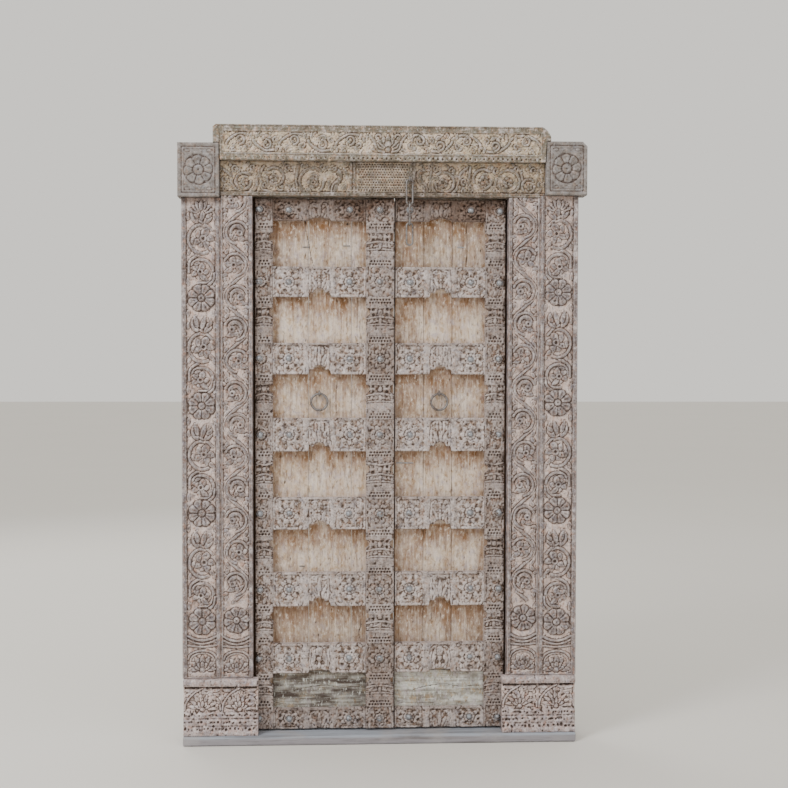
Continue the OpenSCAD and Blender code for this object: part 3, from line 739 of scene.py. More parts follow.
def finish_named(name):
    """The named finish, made the first time that it is asked for."""
    c = colours()
    if name not in bpy.data.materials:
        makers = {
            "rosy_frame_wood": lambda n: carved_wood(
                n, (c.frame_ground, c.frame_motif, c.dirt, c.limewash_and_highlight, c.frame_stain), tint(190, 148, 128),
                tint(160, 158, 172)),
            "rosy_plinth_wood": lambda n: carved_wood(
                n, (c.frame_ground, tint(176, 162, 160), c.dirt, c.limewash_and_highlight, c.frame_stain), tint(186, 140, 122),
                tint(160, 156, 176), 1.1),
            "sandy_lintel_wood": lambda n: carved_wood(
                n, (c.lintel_ground, c.lintel_motif, c.dirt, c.limewash_and_highlight, tint(178, 158, 120)),
                tint(196, 158, 128), tint(146, 150, 140), 0.9, (0.1, 1, 1)),
            "lilac_block_wood": lambda n: carved_wood(
                n, (c.block_ground, c.block_motif, c.dirt, tint(186, 180, 180), tint(128, 116, 110)),
                tint(160, 138, 124), tint(138, 138, 144), 0.9, (0.1, 1, 1)),
            "grey_leaf_wood": lambda n: carved_wood(
                n, (c.leaf_ground, c.leaf_motif, c.dirt, c.limewash_and_highlight, tint(140, 118, 100)), tint(178, 142, 122),
                tint(158, 156, 168), 1.2, (1, 1, 0.1), 0.7),
            "scraped_plank_wood": lambda n: plank_wood(
                n, c.panel_pale, c.panel_tan, tint(222, 204, 180), c.panel_stain_and_shadow, tint(100, 76, 58),
                (1, 1, 0.09)),
            "bottom_board_wood": lambda n: plank_wood(
                n, tint(218, 220, 214), tint(156, 148, 134), tint(184, 184, 172), tint(112, 96, 78),
                tint(74, 64, 58), (0.07, 1, 1)),
            "worn_sill_wood": lambda n: threshold_wood(
                n, c.sill_lit_top, c.sill_front, tint(84, 76, 72), tint(168, 164, 164)),
            "upright_timber": lambda n: sawn_wood(n, c.timber, tint(74, 58, 46), (1, 1, 0.06)),
            "level_timber": lambda n: sawn_wood(n, c.timber, tint(74, 58, 46), (0.06, 1, 1)),
            "turned_peg_wood": lambda n: sawn_wood(n, tint(150, 122, 92), tint(92, 70, 52), (1, 0.1, 1)),
            "forged_iron": lambda n: forged_iron(n, c.iron, c.rust, tint(150, 150, 154)),
            # Lighter iron for the bosses and the right cramps: rubbed, and painted lighter for highlights.
            "rubbed_iron": lambda n: forged_iron(
                n, tint(158, 162, 168), tint(116, 98, 88), tint(190, 194, 202)),
            "studio_floor": lambda n: plain_floor(n, c.floor),
        }
        makers[name](name)
    return bpy.data.materials[name]


# ---------------------------------------------------------------- carving of the frame

def vine_unit(c, x, z, k, high):
    """From a rosette up to the next: a small scroll, a large scroll and a pair of leaves."""
    small, large, top = z + 92 * k, z + 203 * k, z + 262 * k
    for s in (-1, 1):
        c.leaf(x + 43 * s, z + 40, 90 - 16 * s, 30, 5.5, high * 0.8, 20 * s)
        c.leaf(x + 43 * s, z - 40, -90 + 16 * s, 26, 5.5, high * 0.8, -20 * s)
        c.leaf(x + 44 * s, large + 62 * k, 90 - 12 * s, 24, 5, high * 0.8, 20 * s)
        c.leaf(x + 45 * s, large - 58 * k, 90 + 14 * s, 26, 5, high * 0.8)
    c.stem(scroll_line(x - 1, small, 42, 37, -100, 265), 5.0, high, high * 0.45)
    c.stem(spline([(x + 24, z + 44), (x + 40, z + 60 * k), (x + 44, z + 84 * k)]), 4.6, high, high * 0.45)
    c.stem(spline([(x - 42, small - 4), (x - 38, small + 34), (x - 8, small + 56), (x + 24, large - 48 * k)]),
           4.4, high, high * 0.45)
    c.bloom(x - 4, small - 3, 32, 60, high, 1, 1.05)
    c.leaf(x - 22, small + 18, 60, 22, 6, high * 0.9, -70)
    c.stem(scroll_line(x + 1, large, 51, 45, -65, -255, 0.9), 5.0, high, high * 0.45)
    c.bloom(x + 7, large, 36, 80, high, -1, 1.2)
    c.leaf(x - 26, large + 4, 240, 22, 6, high * 0.85, 40)
    c.leaf(x + 26, large - 26, -60, 24, 6, high * 0.85, 30)
    c.stem(spline([(x + 36, large + 28), (x + 18, top - 14), (x - 4, top)]), 4, high, high * 0.45)
    c.leaf(x - 10, top - 6, 140, 66, 12, high, -90, 2.0)
    c.leaf(x + 8, top - 8, 34, 58, 11, high, 70, 2.0)
    c.leaf(x + 16, top + 12, 20, 28, 7, high * 0.9, 60)
    c.leaf(x - 14, top + 6, 96, 46, 8, high * 0.95, 18)
    c.leaf(x + 2, top, 84, 50, 8, high, -16)
    c.rosette(x, z, 47, 8, high, hub=0.3, turn=22.5)


def niche(c, x, z, half, high):
    """Foot of an upright board: cupped mouldings and an arch over half a lotus. z is the top of the arch."""
    cup_line = ((-half - 3, 1), (-half * 0.6, 0.32), (0, 0), (half * 0.6, 0.32), (half + 3, 1))
    for dz, sag, w in ((34, 16, 4.2), (22, 14, 2.6), (12, 5, 3.0)):
        cup = [(x + px, z + dz + sag * share) for px, share in cup_line]
        c.stem(spline(cup), w, high * 0.95, 0, 2.0)
    for r, sink, w in ((half + 2, 0, 3.4), (half - 5, 8, 2.2)):
        arc = [(x + r * math.cos(a), z - 30 - sink + 28 * math.sin(a)) for a in np.linspace(math.pi, 0, 24)]
        c.stem(spline(arc), w, high * 0.9, 0, 1.8)
    for s in (-1, 1):
        c.leaf(x + (half - 6) * s, z - 44, -90, 40, 4, high * 0.8)
    c.fan(x, z - 66, range(6, 180, 28), half * 0.98, 9.5, high)
    c.fan(x, z - 68, range(24, 170, 33), half * 0.6, 7, high)
    c.dome(x, z - 68, 10, high * 0.95, 0, 1.6)
    c.level((x - half + 8, x + half - 8), (z - 92, z - 78), high * 0.45)


def carve_pilaster(x, z, rosettes, high, rng):
    """Left pilaster; the right one is this mirrored."""
    c = Carving(x, z, high, high * 0.22)
    mid = (x[0] + x[1]) / 2 + 1
    steps = np.diff(rosettes).tolist() + [373]
    for rz, step in zip(rosettes, steps):
        vine_unit(c, mid, rz, step / 373, high)
    c.fan(mid, z[1] - 56, range(24, 170, 22), 44, 8, high)
    foot = rosettes[0] - 52
    c.h[:int(foot - c.z0)] = high * 0.22
    niche(c, mid, foot - 48, 46, high)
    c.band((x[0], x[0] + 15), z, high)
    c.band((x[1] - 16, x[1]), z, high)
    c.line(high * 0.35, 1.4, x=x[0] + 11)
    c.line(high * 0.8, 2.2, x=x[1] - 3)
    c.line(high * 0.3, 1.2, x=x[1] - 12)
    c.band(x, (z[0], z[0] + 4), high * 0.8)
    # Grime and painted shadow, darker towards the top, under the lintel.
    c.grime_and_shadow = 0.1 + 0.4 * smooth_step((c.z - z[1] + 40) / 30)
    return c.weather(rng, 0.3, 3.0, 1.4)


def scroll_unit(c, x, z, side, high, kind):
    """Scroll of the inner jambs: ring on one side, opening towards side, with a bud or an acanthus in it."""
    turn = (lambda a: a) if side > 0 else (lambda a: 180 - a)
    c.leaf(x + 30 * side, z + 34, turn(100), 22, 5.5, high * 0.8, 40 * side)
    c.leaf(x + 32 * side, z - 36, turn(-100), 22, 5.5, high * 0.8, 30 * side)
    c.stem(scroll_line(x, z, 40, 35, turn(-100), -235 * side), 4.4, high, high * 0.45)
    c.leaf(x + 30 * side, z + 26, turn(20), 20, 5.5, high * 0.85, 40 * side)
    c.leaf(x + 24 * side, z - 32, turn(-30), 24, 5.5, high * 0.85, 30 * side)
    if kind % 3 == 1:
        c.bloom(x + 3 * side, z - 2, 32, turn(70), high, side, 1.0)
    else:
        c.hook(x + 3 * side, z, 30, turn(0), high, side)


def carve_jamb(x, z, first, pitch, high, rng):
    """Left inner jamb: a running stem that swings from side to side between its scrolls."""
    c = Carving(x, z, high, high * 0.22)
    mid = (x[0] + x[1]) / 2 - 2
    count = int((z[1] - first) / pitch) + 2
    line = [(mid + 40 * math.cos(math.pi * (h - first) / pitch), h)
            for h in np.arange(first - pitch * 0.6, z[1], 2)]
    c.stem(line, 4.6, high, high * 0.45)
    for k in range(count):
        zc, side = first + k * pitch, -1 if k % 2 == 0 else 1
        for s in (-1, 1):
            c.leaf(mid + 24 * s, zc + pitch / 2, 90 - 50 * s, 24, 5.5, high * 0.8, 30 * s)
            c.leaf(mid + 28 * s, zc + pitch / 2 - 8, -90 + 40 * s, 22, 5.0, high * 0.75)
        scroll_unit(c, mid + (5 if side > 0 else -5), zc, side, high, k)
    low = first - pitch
    c.h[:int(low + 40 - c.z0)] = high * 0.22
    c.rosette(mid, low - 18, 45, 8, high, hub=0.3, turn=10)
    for s in (-1, 1):
        c.leaf(mid + 40 * s, low + 16, 90 - 20 * s, 24, 5, high * 0.8)
    niche(c, mid, low - 124, 42, high)
    c.band((x[0], x[0] + 5), z, high * 0.9)
    c.band((x[1] - 12, x[1]), z, high)
    c.line(high * 0.35, 1.3, x=x[1] - 7)
    c.band(x, (z[0], z[0] + 4), high * 0.8)
    c.grime_and_shadow = 0.15
    return c.weather(rng, 0.3, 3.0, 1.5)


def carve_plinth(x, z, high, rng):
    """Roll at the top, a leafy gable under it, beaded bands and base mouldings, all worn."""
    c = Carving(x, z, high, 0)
    c.floor = 8
    base_steps = ((0, 25), (14, 25), (18, 21), (28, 20), (32, 17), (38, 20), (54, 20), (58, 15), (64, 19),
                  (76, 19), (82, 13), (90, 12))
    outline = [(z[0] + up, out) for up, out in base_steps] + [(z[1] - 30, 10), (z[1] - 26, 10)]
    c.h += np.interp(c.z, *zip(*outline))
    mid, half = (x[0] + x[1]) / 2, (x[1] - x[0]) / 2
    base = z[0] + 84
    rise = z[1] - 30 - base
    c.scatter((x[0] + 4, x[1] - 4), (base, z[1] - 32), 17, 17, rng)
    for s in (-1, 1):
        c.leaf(mid + s * (half - 5), base + rise * 0.92, 90 + 98 * s, 36, 8, 17, 24 * s, 2.4)
        c.leaf(mid + s * (half - 8), base + rise * 0.62, 90 + 50 * s, 24, 6, 16, 30 * s, 2.4)
        for t in (18, 42, 66, 86):
            a = math.radians(t)
            c.curl(mid + s * half * 0.8 * math.cos(a), base + 6 + rise * 0.72 * math.sin(a), 9,
                   90 - 90 * s + t, 260 * s, 3.6, 18)
        gable = [(mid - s * (half - 3), base + 4), (mid - s * half * 0.86, base + rise * 0.38),
                 (mid - s * half * 0.5, base + rise * 0.74), (mid, base + rise * 0.97)]
        c.stem(spline(gable), 3.4, 18, 0, 2.0)
    c.fan(mid, base + 6, range(8, 180, 22), rise * 0.62, 6.5, 18)
    c.fan(mid, base + 6, range(30, 160, 30), rise * 0.36, 5.5, 19)
    c.dome(mid, base + 6, 8, 19, 8, 1.6)
    for dz, pitch in ((46, 11), (70, 8), (23, 13)):
        for px in np.arange(x[0] + 6, x[1] - 4, pitch):
            if rng.random() < 0.75:
                c.pit(px + rng.uniform(-3, 3), z[0] + dz + rng.uniform(-3, 3), rng.uniform(3, 6.5), 7)
    torus = z[1] - 13
    roll = high - 12 + 12 * np.sqrt(np.clip(1 - ((c.z - torus) / 14) ** 2, 0, 1))
    c.h = np.where(np.abs(c.z - torus) < 14, roll, c.h)
    for s in (-1, 1):
        c.level(sorted((mid + 12 * s, mid + (half - 6) * s)), (torus - 22, torus - 14), 1)
    c.h += 7 * (soft_noise(rng, c.h.shape, (9, 11)) - 0.5) * (c.z < torus - 14)
    return c.weather(rng, 0.0, 5.0, 2.8)


def carve_upper_lintel(x, z, field, bead_z, high, rng):
    """Running vine of half rounds between a dentil band and a row of beads; it parts round a palmette."""
    c = Carving(x, z, high, high * 0.3)
    low, top = field[2] + 6, field[3] - 6
    mid, tall = (low + top) / 2, (top - low) / 2 - 3
    c.scatter((field[0] + 4, field[1] - 4), (low, top), 15, high * 0.85, rng)
    for turns, way in (((-520, -428, -340, -242, -148, -52), 1), ((540, 432, 332, 234, 150, 96), -1)):
        up = 1
        for a, b in zip(turns, turns[1:]):
            cx, half = (a + b) / 2, abs(b - a) / 2
            arc = [(cx - way * half * math.cos(t) * (1 - 0.12 * math.sin(t)) - way * 8 * (1 - math.sin(t)),
                    mid + up * tall * math.sin(t) - up * 6 * (1 - math.sin(t)) * (1 if t < 1.6 else -1))
                   for t in np.linspace(0, math.pi, 30)]
            c.stem(arc, 4.4, high, high * 0.5)
            c.curl(cx - 8 * way, mid + up * 8, 20, 90 * up + 90 * way + 90, 330 * way * up, 4.2, high)
            c.leaf(cx - 24 * way, mid - up * 8, -90 * up - 30 * way, 24, 6, high * 0.9, -50 * way)
            c.leaf(cx + 6 * way, mid - up * 12, -90 * up + 40 * way, 24, 6, high * 0.9, 50 * way)
            c.curl(cx + 22 * way, mid - up * 8, 12, -90 * up, 260 * way, 3.8, high * 0.95)
            c.leaf(cx + 27 * way, mid + up * 12, 90 * up - 10, 20, 5, high * 0.85)
            c.curl(cx - 30 * way, mid - up * 26, 10, 90, 240 * way, 3.4, high * 0.9)
            c.leaf(cx + way * half, mid + up * 14, 90 * up - 30 * way, 20, 4.5, high * 0.85, 40 * way)
            up = -up
    c.fan(PALMETTE_X, low + 4, range(10, 180, 20), 56, 8, high)
    for s in (-1, 1):
        c.stem(spline([(PALMETTE_X + 62 * s, top - 6), (PALMETTE_X + 48 * s, mid + 6),
                       (PALMETTE_X + 36 * s, low + 8), (PALMETTE_X + 14 * s, low)]), 4, high, high * 0.45)
        c.curl(PALMETTE_X + 34 * s, mid + 20, 13, 90 + 90 * s, -260 * s, 4, high)
    c.dome(PALMETTE_X, mid - 4, 12, high, high * 0.4, 1.5)
    c.dome(PALMETTE_X, low + 8, 9, high, 0, 1.5)
    c.band((field[0], field[1]), (field[3], field[3] + 4), high * 0.9)
    c.band((field[0], field[1]), (field[2] - 5, field[2]), high * 0.9)
    c.band((x[0], field[0]), z, high * 0.8)
    c.band((field[1], x[1]), z, high * 0.8)
    for px in (field[0] - 5, field[0] - 13, field[1] + 6):
        c.line(high * 0.4, 1.5, x=px, span=(bead_z, z[1] - 20))
    c.level(x, (field[3] + 5, z[1] + 2), high * 0.8)
    for px in np.arange(x[0] + 70, x[1] - 30, 13):
        deep = high * 0.4 * smooth_step((px + 350) / 160)
        for s in (-1, 1):
            c.line(deep, 2.0, x=px + 3.2 * s, span=(field[3] + 8, z[1] - 6))
    c.line(high * 0.35, 1.6, z=z[1] - 5)
    c.level(x, (z[0] - 2, bead_z + 9), high * 0.6)
    for px in np.arange(field[0] + 4, field[1], 16):
        worn = smooth_step((px + 330) / 260) * rng.uniform(0.5, 1)
        c.dome(px, bead_z, 6.5, high * (0.6 + 0.3 * worn), high * 0.5)
        c.pit(px + 8, bead_z + rng.uniform(-4, 1), rng.uniform(3, 5.5), high * (0.4 + 0.4 * worn))
    c.line(high * 0.3, 1.8, z=bead_z + 9)
    return c.weather(rng, 0.2, 2.5, 1.3, (3, 26))


# The lower lintel's growth, in millimetres: its main stems, its small buds as middle and radius, and its
# large scrolls as middle, radius and the way they turn.
LINTEL_STEMS = (
    [(-548, 1985), (-518, 1962), (-508, 1925), (-470, 1902), (-432, 1915), (-424, 1955), (-402, 1992)],
    [(-424, 1992), (-414, 1950), (-404, 1915), (-366, 1903), (-318, 1906), (-292, 1940), (-288, 1994)],
    [(-284, 1994), (-292, 1936), (-270, 1902), (-230, 1896)],
    [(172, 1990), (172, 1940), (190, 1904), (232, 1898), (262, 1922), (272, 1970), (300, 1994)],
    [(308, 1994), (304, 1940), (330, 1904), (380, 1902), (394, 1936), (404, 1990)],
    [(482, 1994), (486, 1950), (474, 1912), (510, 1898), (548, 1912), (556, 1960)],
)
LINTEL_BUDS = (
    (-345, 1920, 17), (-398, 1928, 12), (-500, 1984, 15), (-536, 1945, 13), (-534, 1913, 12),
    (-440, 1988, 13), (-320, 1988, 14), (-268, 1994, 11), (-200, 1990, 13), (-302, 1912, 11),
    (245, 1980, 15), (190, 1988, 12), (286, 1944, 14), (285, 1912, 12), (398, 1982, 14),
    (396, 1914, 12), (470, 1990, 13), (528, 1986, 14), (550, 1938, 12), (318, 1908, 12), (150, 1990, 10),
)
LINTEL_SCROLLS = (
    (-470, 1940, 30, 1), (-366, 1955, 33, -1), (-236, 1940, 47, 1), (216, 1940, 37, -1),
    (352, 1952, 36, 1), (440, 1944, 42, -1), (510, 1930, 25, 1),
)


def carve_lower_lintel(x, z, high, rng):
    """Free scrolls and a bird left and right of a netted panel."""
    c = Carving(x, z, high, high * 0.3)
    low, top = z[0] + 15, z[1] - 2
    for span in ((x[0] + 4, -112), (122, x[1] - 4)):
        c.scatter(span, (low, top), 16, high * 0.85, rng)
    for run in LINTEL_STEMS:
        c.stem(spline(run), 4.6, high, high * 0.45)
    for cx, cz, r in LINTEL_BUDS:
        way = 1 if int(cx + cz) % 2 else -1
        c.leaf(cx + r * 0.6, cz - r * 0.8, -50 * way, 20, 5, high * 0.85, 30)
        c.leaf(cx - r * 0.7, cz + r * 0.5, 140, 16, 4.5, high * 0.85, -40)
        c.curl(cx, cz, r, 90 * way, 290 * way, 3.8, high)
    for rx, rz, r, way in LINTEL_SCROLLS:
        c.stem(scroll_line(rx, rz, r, r * 0.8, 90 - 40 * way, 310 * way), 4.6, high, high * 0.45)
        c.leaf(rx + r * 0.5 * way, rz + r * 0.35, 150, r * 0.7, r * 0.16, high * 0.85, 40)
        c.leaf(rx - r * 0.5, rz - r * 0.4, -60, r * 0.7, r * 0.16, high * 0.85, 40)
        c.blossom(rx + 2 * way, rz - 2, r * 0.46, 40 * way, high)
    for s, bx in ((1, -150), (-1, 138)):
        c.leaf(bx + 20 * s, 1992, -90 + 20 * s, 40, 6, high * 0.85)
        c.leaf(bx - 26 * s, 1904, 90, 46, 7, high * 0.85, 20 * s)
        c.leaf(bx + 16 * s, 1904, 90 - 25 * s, 34, 7, high * 0.85)
        c.stem(spline([(bx - 18 * s, 1902), (bx - 14 * s, 1926), (bx + 6 * s, 1948), (bx + 6 * s, 1972),
                       (bx - 8 * s, 1984)]), 8.5, high, high * 0.2)
        c.leaf(bx - 2 * s, 1934, 250 if s > 0 else 290, 34, 7, high, 0, 1.2)
        c.dome(bx - 9 * s, 1984, 9, high, 0, 1.5)
        c.leaf(bx - 16 * s, 1983, 180 if s > 0 else 0, 16, 3.5, high * 0.9)
        c.pit(bx - 10 * s, 1985, 2.5, high * 0.6)
    panel = (-84, 96)
    for px in (-108, -97, 99, 110):
        c.band((px, px + 8), (low, top), high * 0.9)
        c.lattice((px, px + 8), (low + 2, top - 2), 8, 4)
    c.band(panel, (low, top), high * 0.75)
    c.lattice((panel[0] + 3, panel[1] - 3), (low + 3, top - 2), 9.0, high * 0.75)
    for k in range(4):
        c.line(high * 0.4, 2, z=low + 24 + 26 * k, span=panel)
    for px in np.arange(panel[0] + 22, panel[1], 22):
        c.line(high * 0.3, 1.6, x=px, span=(low, top))
    c.band(x, (z[0], low - 1), high)
    c.line(high * 0.5, 1.8, z=low)
    c.line(high * 0.3, 1.3, z=low - 6)
    # Grime and painted shade over the whole lower lintel, under the projecting upper lintel.
    c.grime_and_shadow = 0.4
    return c.weather(rng, 0.3, 4.0, 1.6, (3, 26))


def carve_block(x, z, high, rng):
    """Scored square about an eight-petalled rosette."""
    c = Carving(x, z, high, high * 0.8)
    c.floor = high * 0.25
    mid = ((x[0] + x[1]) / 2, (z[0] + z[1]) / 2)
    for inset, deep in ((14, 5.0), (22, 3.4)):
        c.frame_line(x, z, inset, deep, 2.3)
    c.rosette(*mid, 50, 8, high, hub=0.4, turn=6)
    for sx in (-1, 1):
        for sz in (-1, 1):
            c.leaf(mid[0] + 28 * sx, mid[1] + 64 * sz, 90 - 90 * sx, 18, 4, high * 0.95)
            c.pit(mid[0] + 44 * sx, mid[1] + 50 * sz, 6, 2)
    return c.weather(rng, 0.1, 1.2, 1.0, (3, 26))


# ---------------------------------------------------------------- carving of the leaves

def carve_rail(n, x, z, bosses, notch, high, rng):
    """Sunk flower squares in plain margins, with an upright leaf between them above the cusped notch."""
    c = Carving(x, z, high, high * 0.92)
    c.floor = high * 0.25
    tall, mid = z[1] - z[0], (z[0] + z[1]) / 2
    low_rail, blocks = tall < 90, n == 7
    half = tall / 2 - (9 if not low_rail else 6)
    for boss in bosses:
        left, right = max(x[0] + 7, boss - 50), min(x[1] - 7, boss + 50)
        if blocks:
            left, right = (x[0] + 4, boss + 42) if boss < notch else (boss - 42, x[1] - 4)
        c.level((left, right), (mid - half, mid + half), high * 0.42)
        c.frame_line((left, right), (mid - half, mid + half), -1, high * 0.35, 1.6)
        flat = half / 46
        for sx in (-1, 1):
            for sz in (-1, 1):
                c.leaf(boss + 46 * sx, mid + (half - 5) * sz, 90 + 90 * sx - 45 * sx * sz, 22, 5,
                       high * 0.8, 20 * sx)
                c.leaf(boss + 28 * sx, mid + (half - 2) * sz, -90 * sz + 20 * sx * sz, 14, 4, high * 0.75)
        c.lotus(boss, mid, 46, 8, high * 0.95, 22.5 * (n % 2), min(1, flat))
        for k in range(8):
            t = math.radians(22.5 * (n % 2) + 45 * k + 22.5)
            c.pit(boss + 35 * math.cos(t), mid + 35 * math.sin(t) * flat, rng.uniform(3.5, 6.5), high * 0.7)
        c.rosette(boss, mid, 19, 8, high * 0.95, hub=0.5)
        strip = (right + 2, notch - 39) if boss < notch else (notch + 39, left - 2)
        c.line(high * 0.3, 1.4, x=strip[0] + 2)
        c.line(high * 0.3, 1.4, x=strip[1] - 2)
        if blocks:
            for pz in (mid, mid + 24):
                c.line(high * 0.45, 1.6, z=pz, span=strip)
        elif n in (3, 4, 6):
            c.line(high * 0.25, 1.3, x=(strip[0] + strip[1]) / 2)
    foot = z[0] + (3 if n == 8 else 14 if n in (1, 7) else 30)
    c.level((notch - 37, notch + 37), (z[0] - 2, z[1] - 7), high * 0.45)
    room = z[1] - 9 - foot
    for s in (-1, 1):
        c.leaf(notch + 31 * s, z[0] + 16, 90, tall - 32, 5.5, high * 0.85)
        c.leaf(notch + 19 * s, foot - 6, 90 + 6 * s, room * 0.7, 6.5, high * 0.9, -26 * s)
        c.curl(notch + 18 * s, z[1] - 20, 10, 90 - 90 * s, 240 * s, 3.6, high * 0.9)
        c.leaf(notch + 9 * s, foot, 90 - 12 * s, room * 0.62, 6, high * 0.95, -20 * s)
    c.leaf(notch, foot, 90, room * 0.9, 7, high)
    if n in (2, 5):
        spot = mid + 8
        c.clear(notch, spot, 15)
        c.stem([(notch + 11 * px, spot + 11 * pz) for px, pz in ((-1, 0), (0, 1), (1, 0), (0, -1), (-1, 0))],
               2.6, high, 0, 1.2)
        c.dome(notch, spot, 4, high)
    if n in (3, 4):
        for s in (-1, 0, 1):
            c.leaf(notch + 12 * s, z[1] - 10, -90, room * 0.5, 4.5, high, 0, 2.2)
    if blocks:
        c.dome(notch, mid + 22, 16, high, high * 0.5, 3)
        for s in (-1, 1):
            c.leaf(notch + 24 * s, mid - 30, 90 + 8 * s, 62, 8, high)
            c.pit(notch + 10 * s, mid - 16, 11, high)
    c.h += 3.4 * (soft_noise(rng, c.h.shape, (6, 6)) - 0.5)
    # Grime and painted shadow: heaviest on the top rail, under the lintel, and along each rail's top edge.
    c.grime_and_shadow = {1: 0.95, 8: 0.35}.get(n, 0.12) + 0.2 * smooth_step((c.z - z[1] + 20) / 16)
    return c.weather(rng, 0.35, 4.5, 2.2)


def carve_stile(x, z, levels, boss_x, high, rng):
    """Flowered blocks at the rails, netted bands beside them and moulded waists between."""
    c = Carving(x, z, high, high * 0.85)
    c.floor = high * 0.25
    mid, half = (x[0] + x[1]) / 2, (x[1] - x[0]) / 2
    inner = (x[0] + 7, x[1] - 7)
    waist_line = ((x[0] + 2, 1), (mid - half * 0.5, 0.4), (mid, 0), (mid + half * 0.5, 0.4), (x[1] - 2, 1))
    for waist in WAISTS:
        c.level(x, (waist - 48, waist + 48), high * 0.5)
        for s in (-1, 1):
            for dz, sag, w in ((16, 7, 3.4), (30, 9, 3.0), (42, 3, 2.6)):
                cup = [(px, waist + s * (dz + sag * share)) for px, share in waist_line]
                c.stem(spline(cup), w, high * 0.95, 0, 2.4)
            c.leaf(mid, waist + s * 20, 90 * s, 20, 6, high)
            for t in (-1, 1):
                c.leaf(mid + 0.55 * half * t, waist + s * 24, 90 * s - 30 * s * t, 16, 4.5, high * 0.85)
                c.pit(mid + 0.5 * half * t, waist + s * 9, 6, high * 0.9)
                c.pit(mid + 0.8 * half * t, waist + s * 9, 5, high * 0.9)
        c.band((x[0] + 8, x[1] - 8), (waist - 4, waist + 4), high * 0.9)
        c.dome(mid, waist, min(9, half * 0.3), high, high * 0.3, 2)
    for level, tall in levels:
        long = tall / 2 + 4
        r = min(half - 5, tall / 2 - 2)
        c.level(inner, (level - long, level + long), high * 0.42)
        c.frame_line(inner, (level - long, level + long), -1, high * 0.3, 1.5)
        for sx in (-1, 1):
            for sz in (-1, 1):
                c.leaf(mid + (half - 9) * sx, level + (long - 6) * sz, 90 + 90 * sx - 45 * sx * sz, 22, 5,
                       high * 0.8)
                c.leaf(mid + (half - 12) * sx, level + 16 * sz, 90 * sz, 22, 4.5, high * 0.75)
        c.leaf(mid, level + long - 3, -90, 20, 6, high * 0.85)
        c.leaf(mid, level - long + 3, 90, 20, 6, high * 0.85)
        c.lotus(boss_x, level, max(r, 30) + 2, 8, high * 0.95, 22.5)
        for k in range(8):
            t = math.radians(45 * k + 22.5)
            c.pit(boss_x + r * 0.8 * math.cos(t), level + r * 0.8 * math.sin(t), 4, high * 0.7)
        c.rosette(boss_x, level, 17, 8, high, hub=0.55)
        for s in (-1, 1):
            net = sorted((level + s * (long + 4), level + s * (long + 25)))
            c.level(x, sorted((level + s * (long + 2), level + s * (long + 38))), high * 0.85)
            c.lattice((x[0] + 8, x[1] - 8), net, 10.5, high * 0.8)
            c.line(high * 0.4, 1.6, z=level + s * (long + 28))
            c.line(high * 0.3, 1.4, z=level + s * (long + 34))
    for px in (x[0] + 3, x[1] - 3):
        c.line(high * 0.3, 1.3, x=px)
    c.h += 3.4 * (soft_noise(rng, c.h.shape, (6, 6)) - 0.5)
    # Grime and painted shadow, darker towards the top, under the lintel.
    c.grime_and_shadow = 0.5 + 0.4 * smooth_step((c.z - z[1] + 70) / 50)
    return c.weather(rng, 0.35, 5.0, 2.3)


# ---------------------------------------------------------------- plain boards


CRACKS = {
    "left": [([(-262, 1811), (-258, 1770), (-249, 1735), (-244, 1700), (-236, 1668), (-232, 1652)], 1.6),
             ([(-72, 430), (-66, 400), (-74, 372), (-70, 352)], 1.4),
             ([(-150, 1260), (-156, 1180), (-150, 1130)], 1.0)],
    "right": [([(180, 440), (182, 412), (196, 400), (212, 410), (215, 440)], 1.4),
              ([(300, 1800), (304, 1720), (299, 1652)], 1.2)],
}
PANEL_TONES = {"left": (0.34, 0.02, 0.1, 0.06, 0.16, 0.6), "right": (0.42, 0.06, 0.2, 0.1, 0.14, 0.5)}


def carve_leaf_planks(side, x, z, rng):
    """One field across a whole leaf's planks: grain, cracks, and where rusty stain, painted rail shadow and
    dirt lie below the rails.
    """
    c = Carving(x, z, 3.0, 2.1)
    shape = c.h.shape
    c.h += (soft_noise(rng, shape, (160, 5)) - 0.5) * 0.9 + (soft_noise(rng, shape, (60, 2.2)) - 0.5) * 0.9
    c.h += (soft_noise(rng, shape, (90, 60)) - 0.5) * 0.9
    c.h -= 1.5 * smooth_step((soft_noise(rng, shape, (15, 9)) - 0.88) * 10)
    for points, half in CRACKS[side]:
        c.cut(spline(points), half + 1.2, 2.6)
    c.h = np.clip(c.h, 0.1, 3.0)
    ragged = soft_noise(rng, shape, (46, 22)) * 30 + soft_noise(rng, shape, (40, 4)) * 22
    stain, tone = np.zeros(shape), np.zeros(shape)
    for n, share in zip(RAILS, PANEL_TONES[side]):
        rail_low, next_top = span_of(f"{side}_rail_{n}")[2][0], span_of(f"{side}_rail_{n + 1}")[2][1]
        below = rail_low - c.z
        inside = (c.z < rail_low + 20) & (c.z > next_top - 20)
        # Rusty stain and painted shadow of the rail, reaching a ragged way down below it.
        reach = 1 - smooth_step((below - ragged + 12) / 84)
        stain = np.where(inside, np.maximum(stain, reach), stain)
        foot = smooth_step((next_top + 26 - c.z) / 30) * soft_noise(rng, shape, (20, 30)) * 0.3
        tone = np.where(inside, share + foot, tone)
    # Rusty stain and painted shade beside the stiles, along both sides of the leaf.
    sides = np.minimum(c.x - x[0], x[1] - c.x)
    stain = np.maximum(stain, 0.7 * (1 - smooth_step((sides - 60 - ragged * 0.4) / 28)))
    stain *= 0.6 + 0.6 * soft_noise(rng, shape, (60, 22))
    tone = tone * (0.5 + soft_noise(rng, shape, (120, 40)))
    return c, {"stain": np.broadcast_to(stain, shape), "tone": tone}


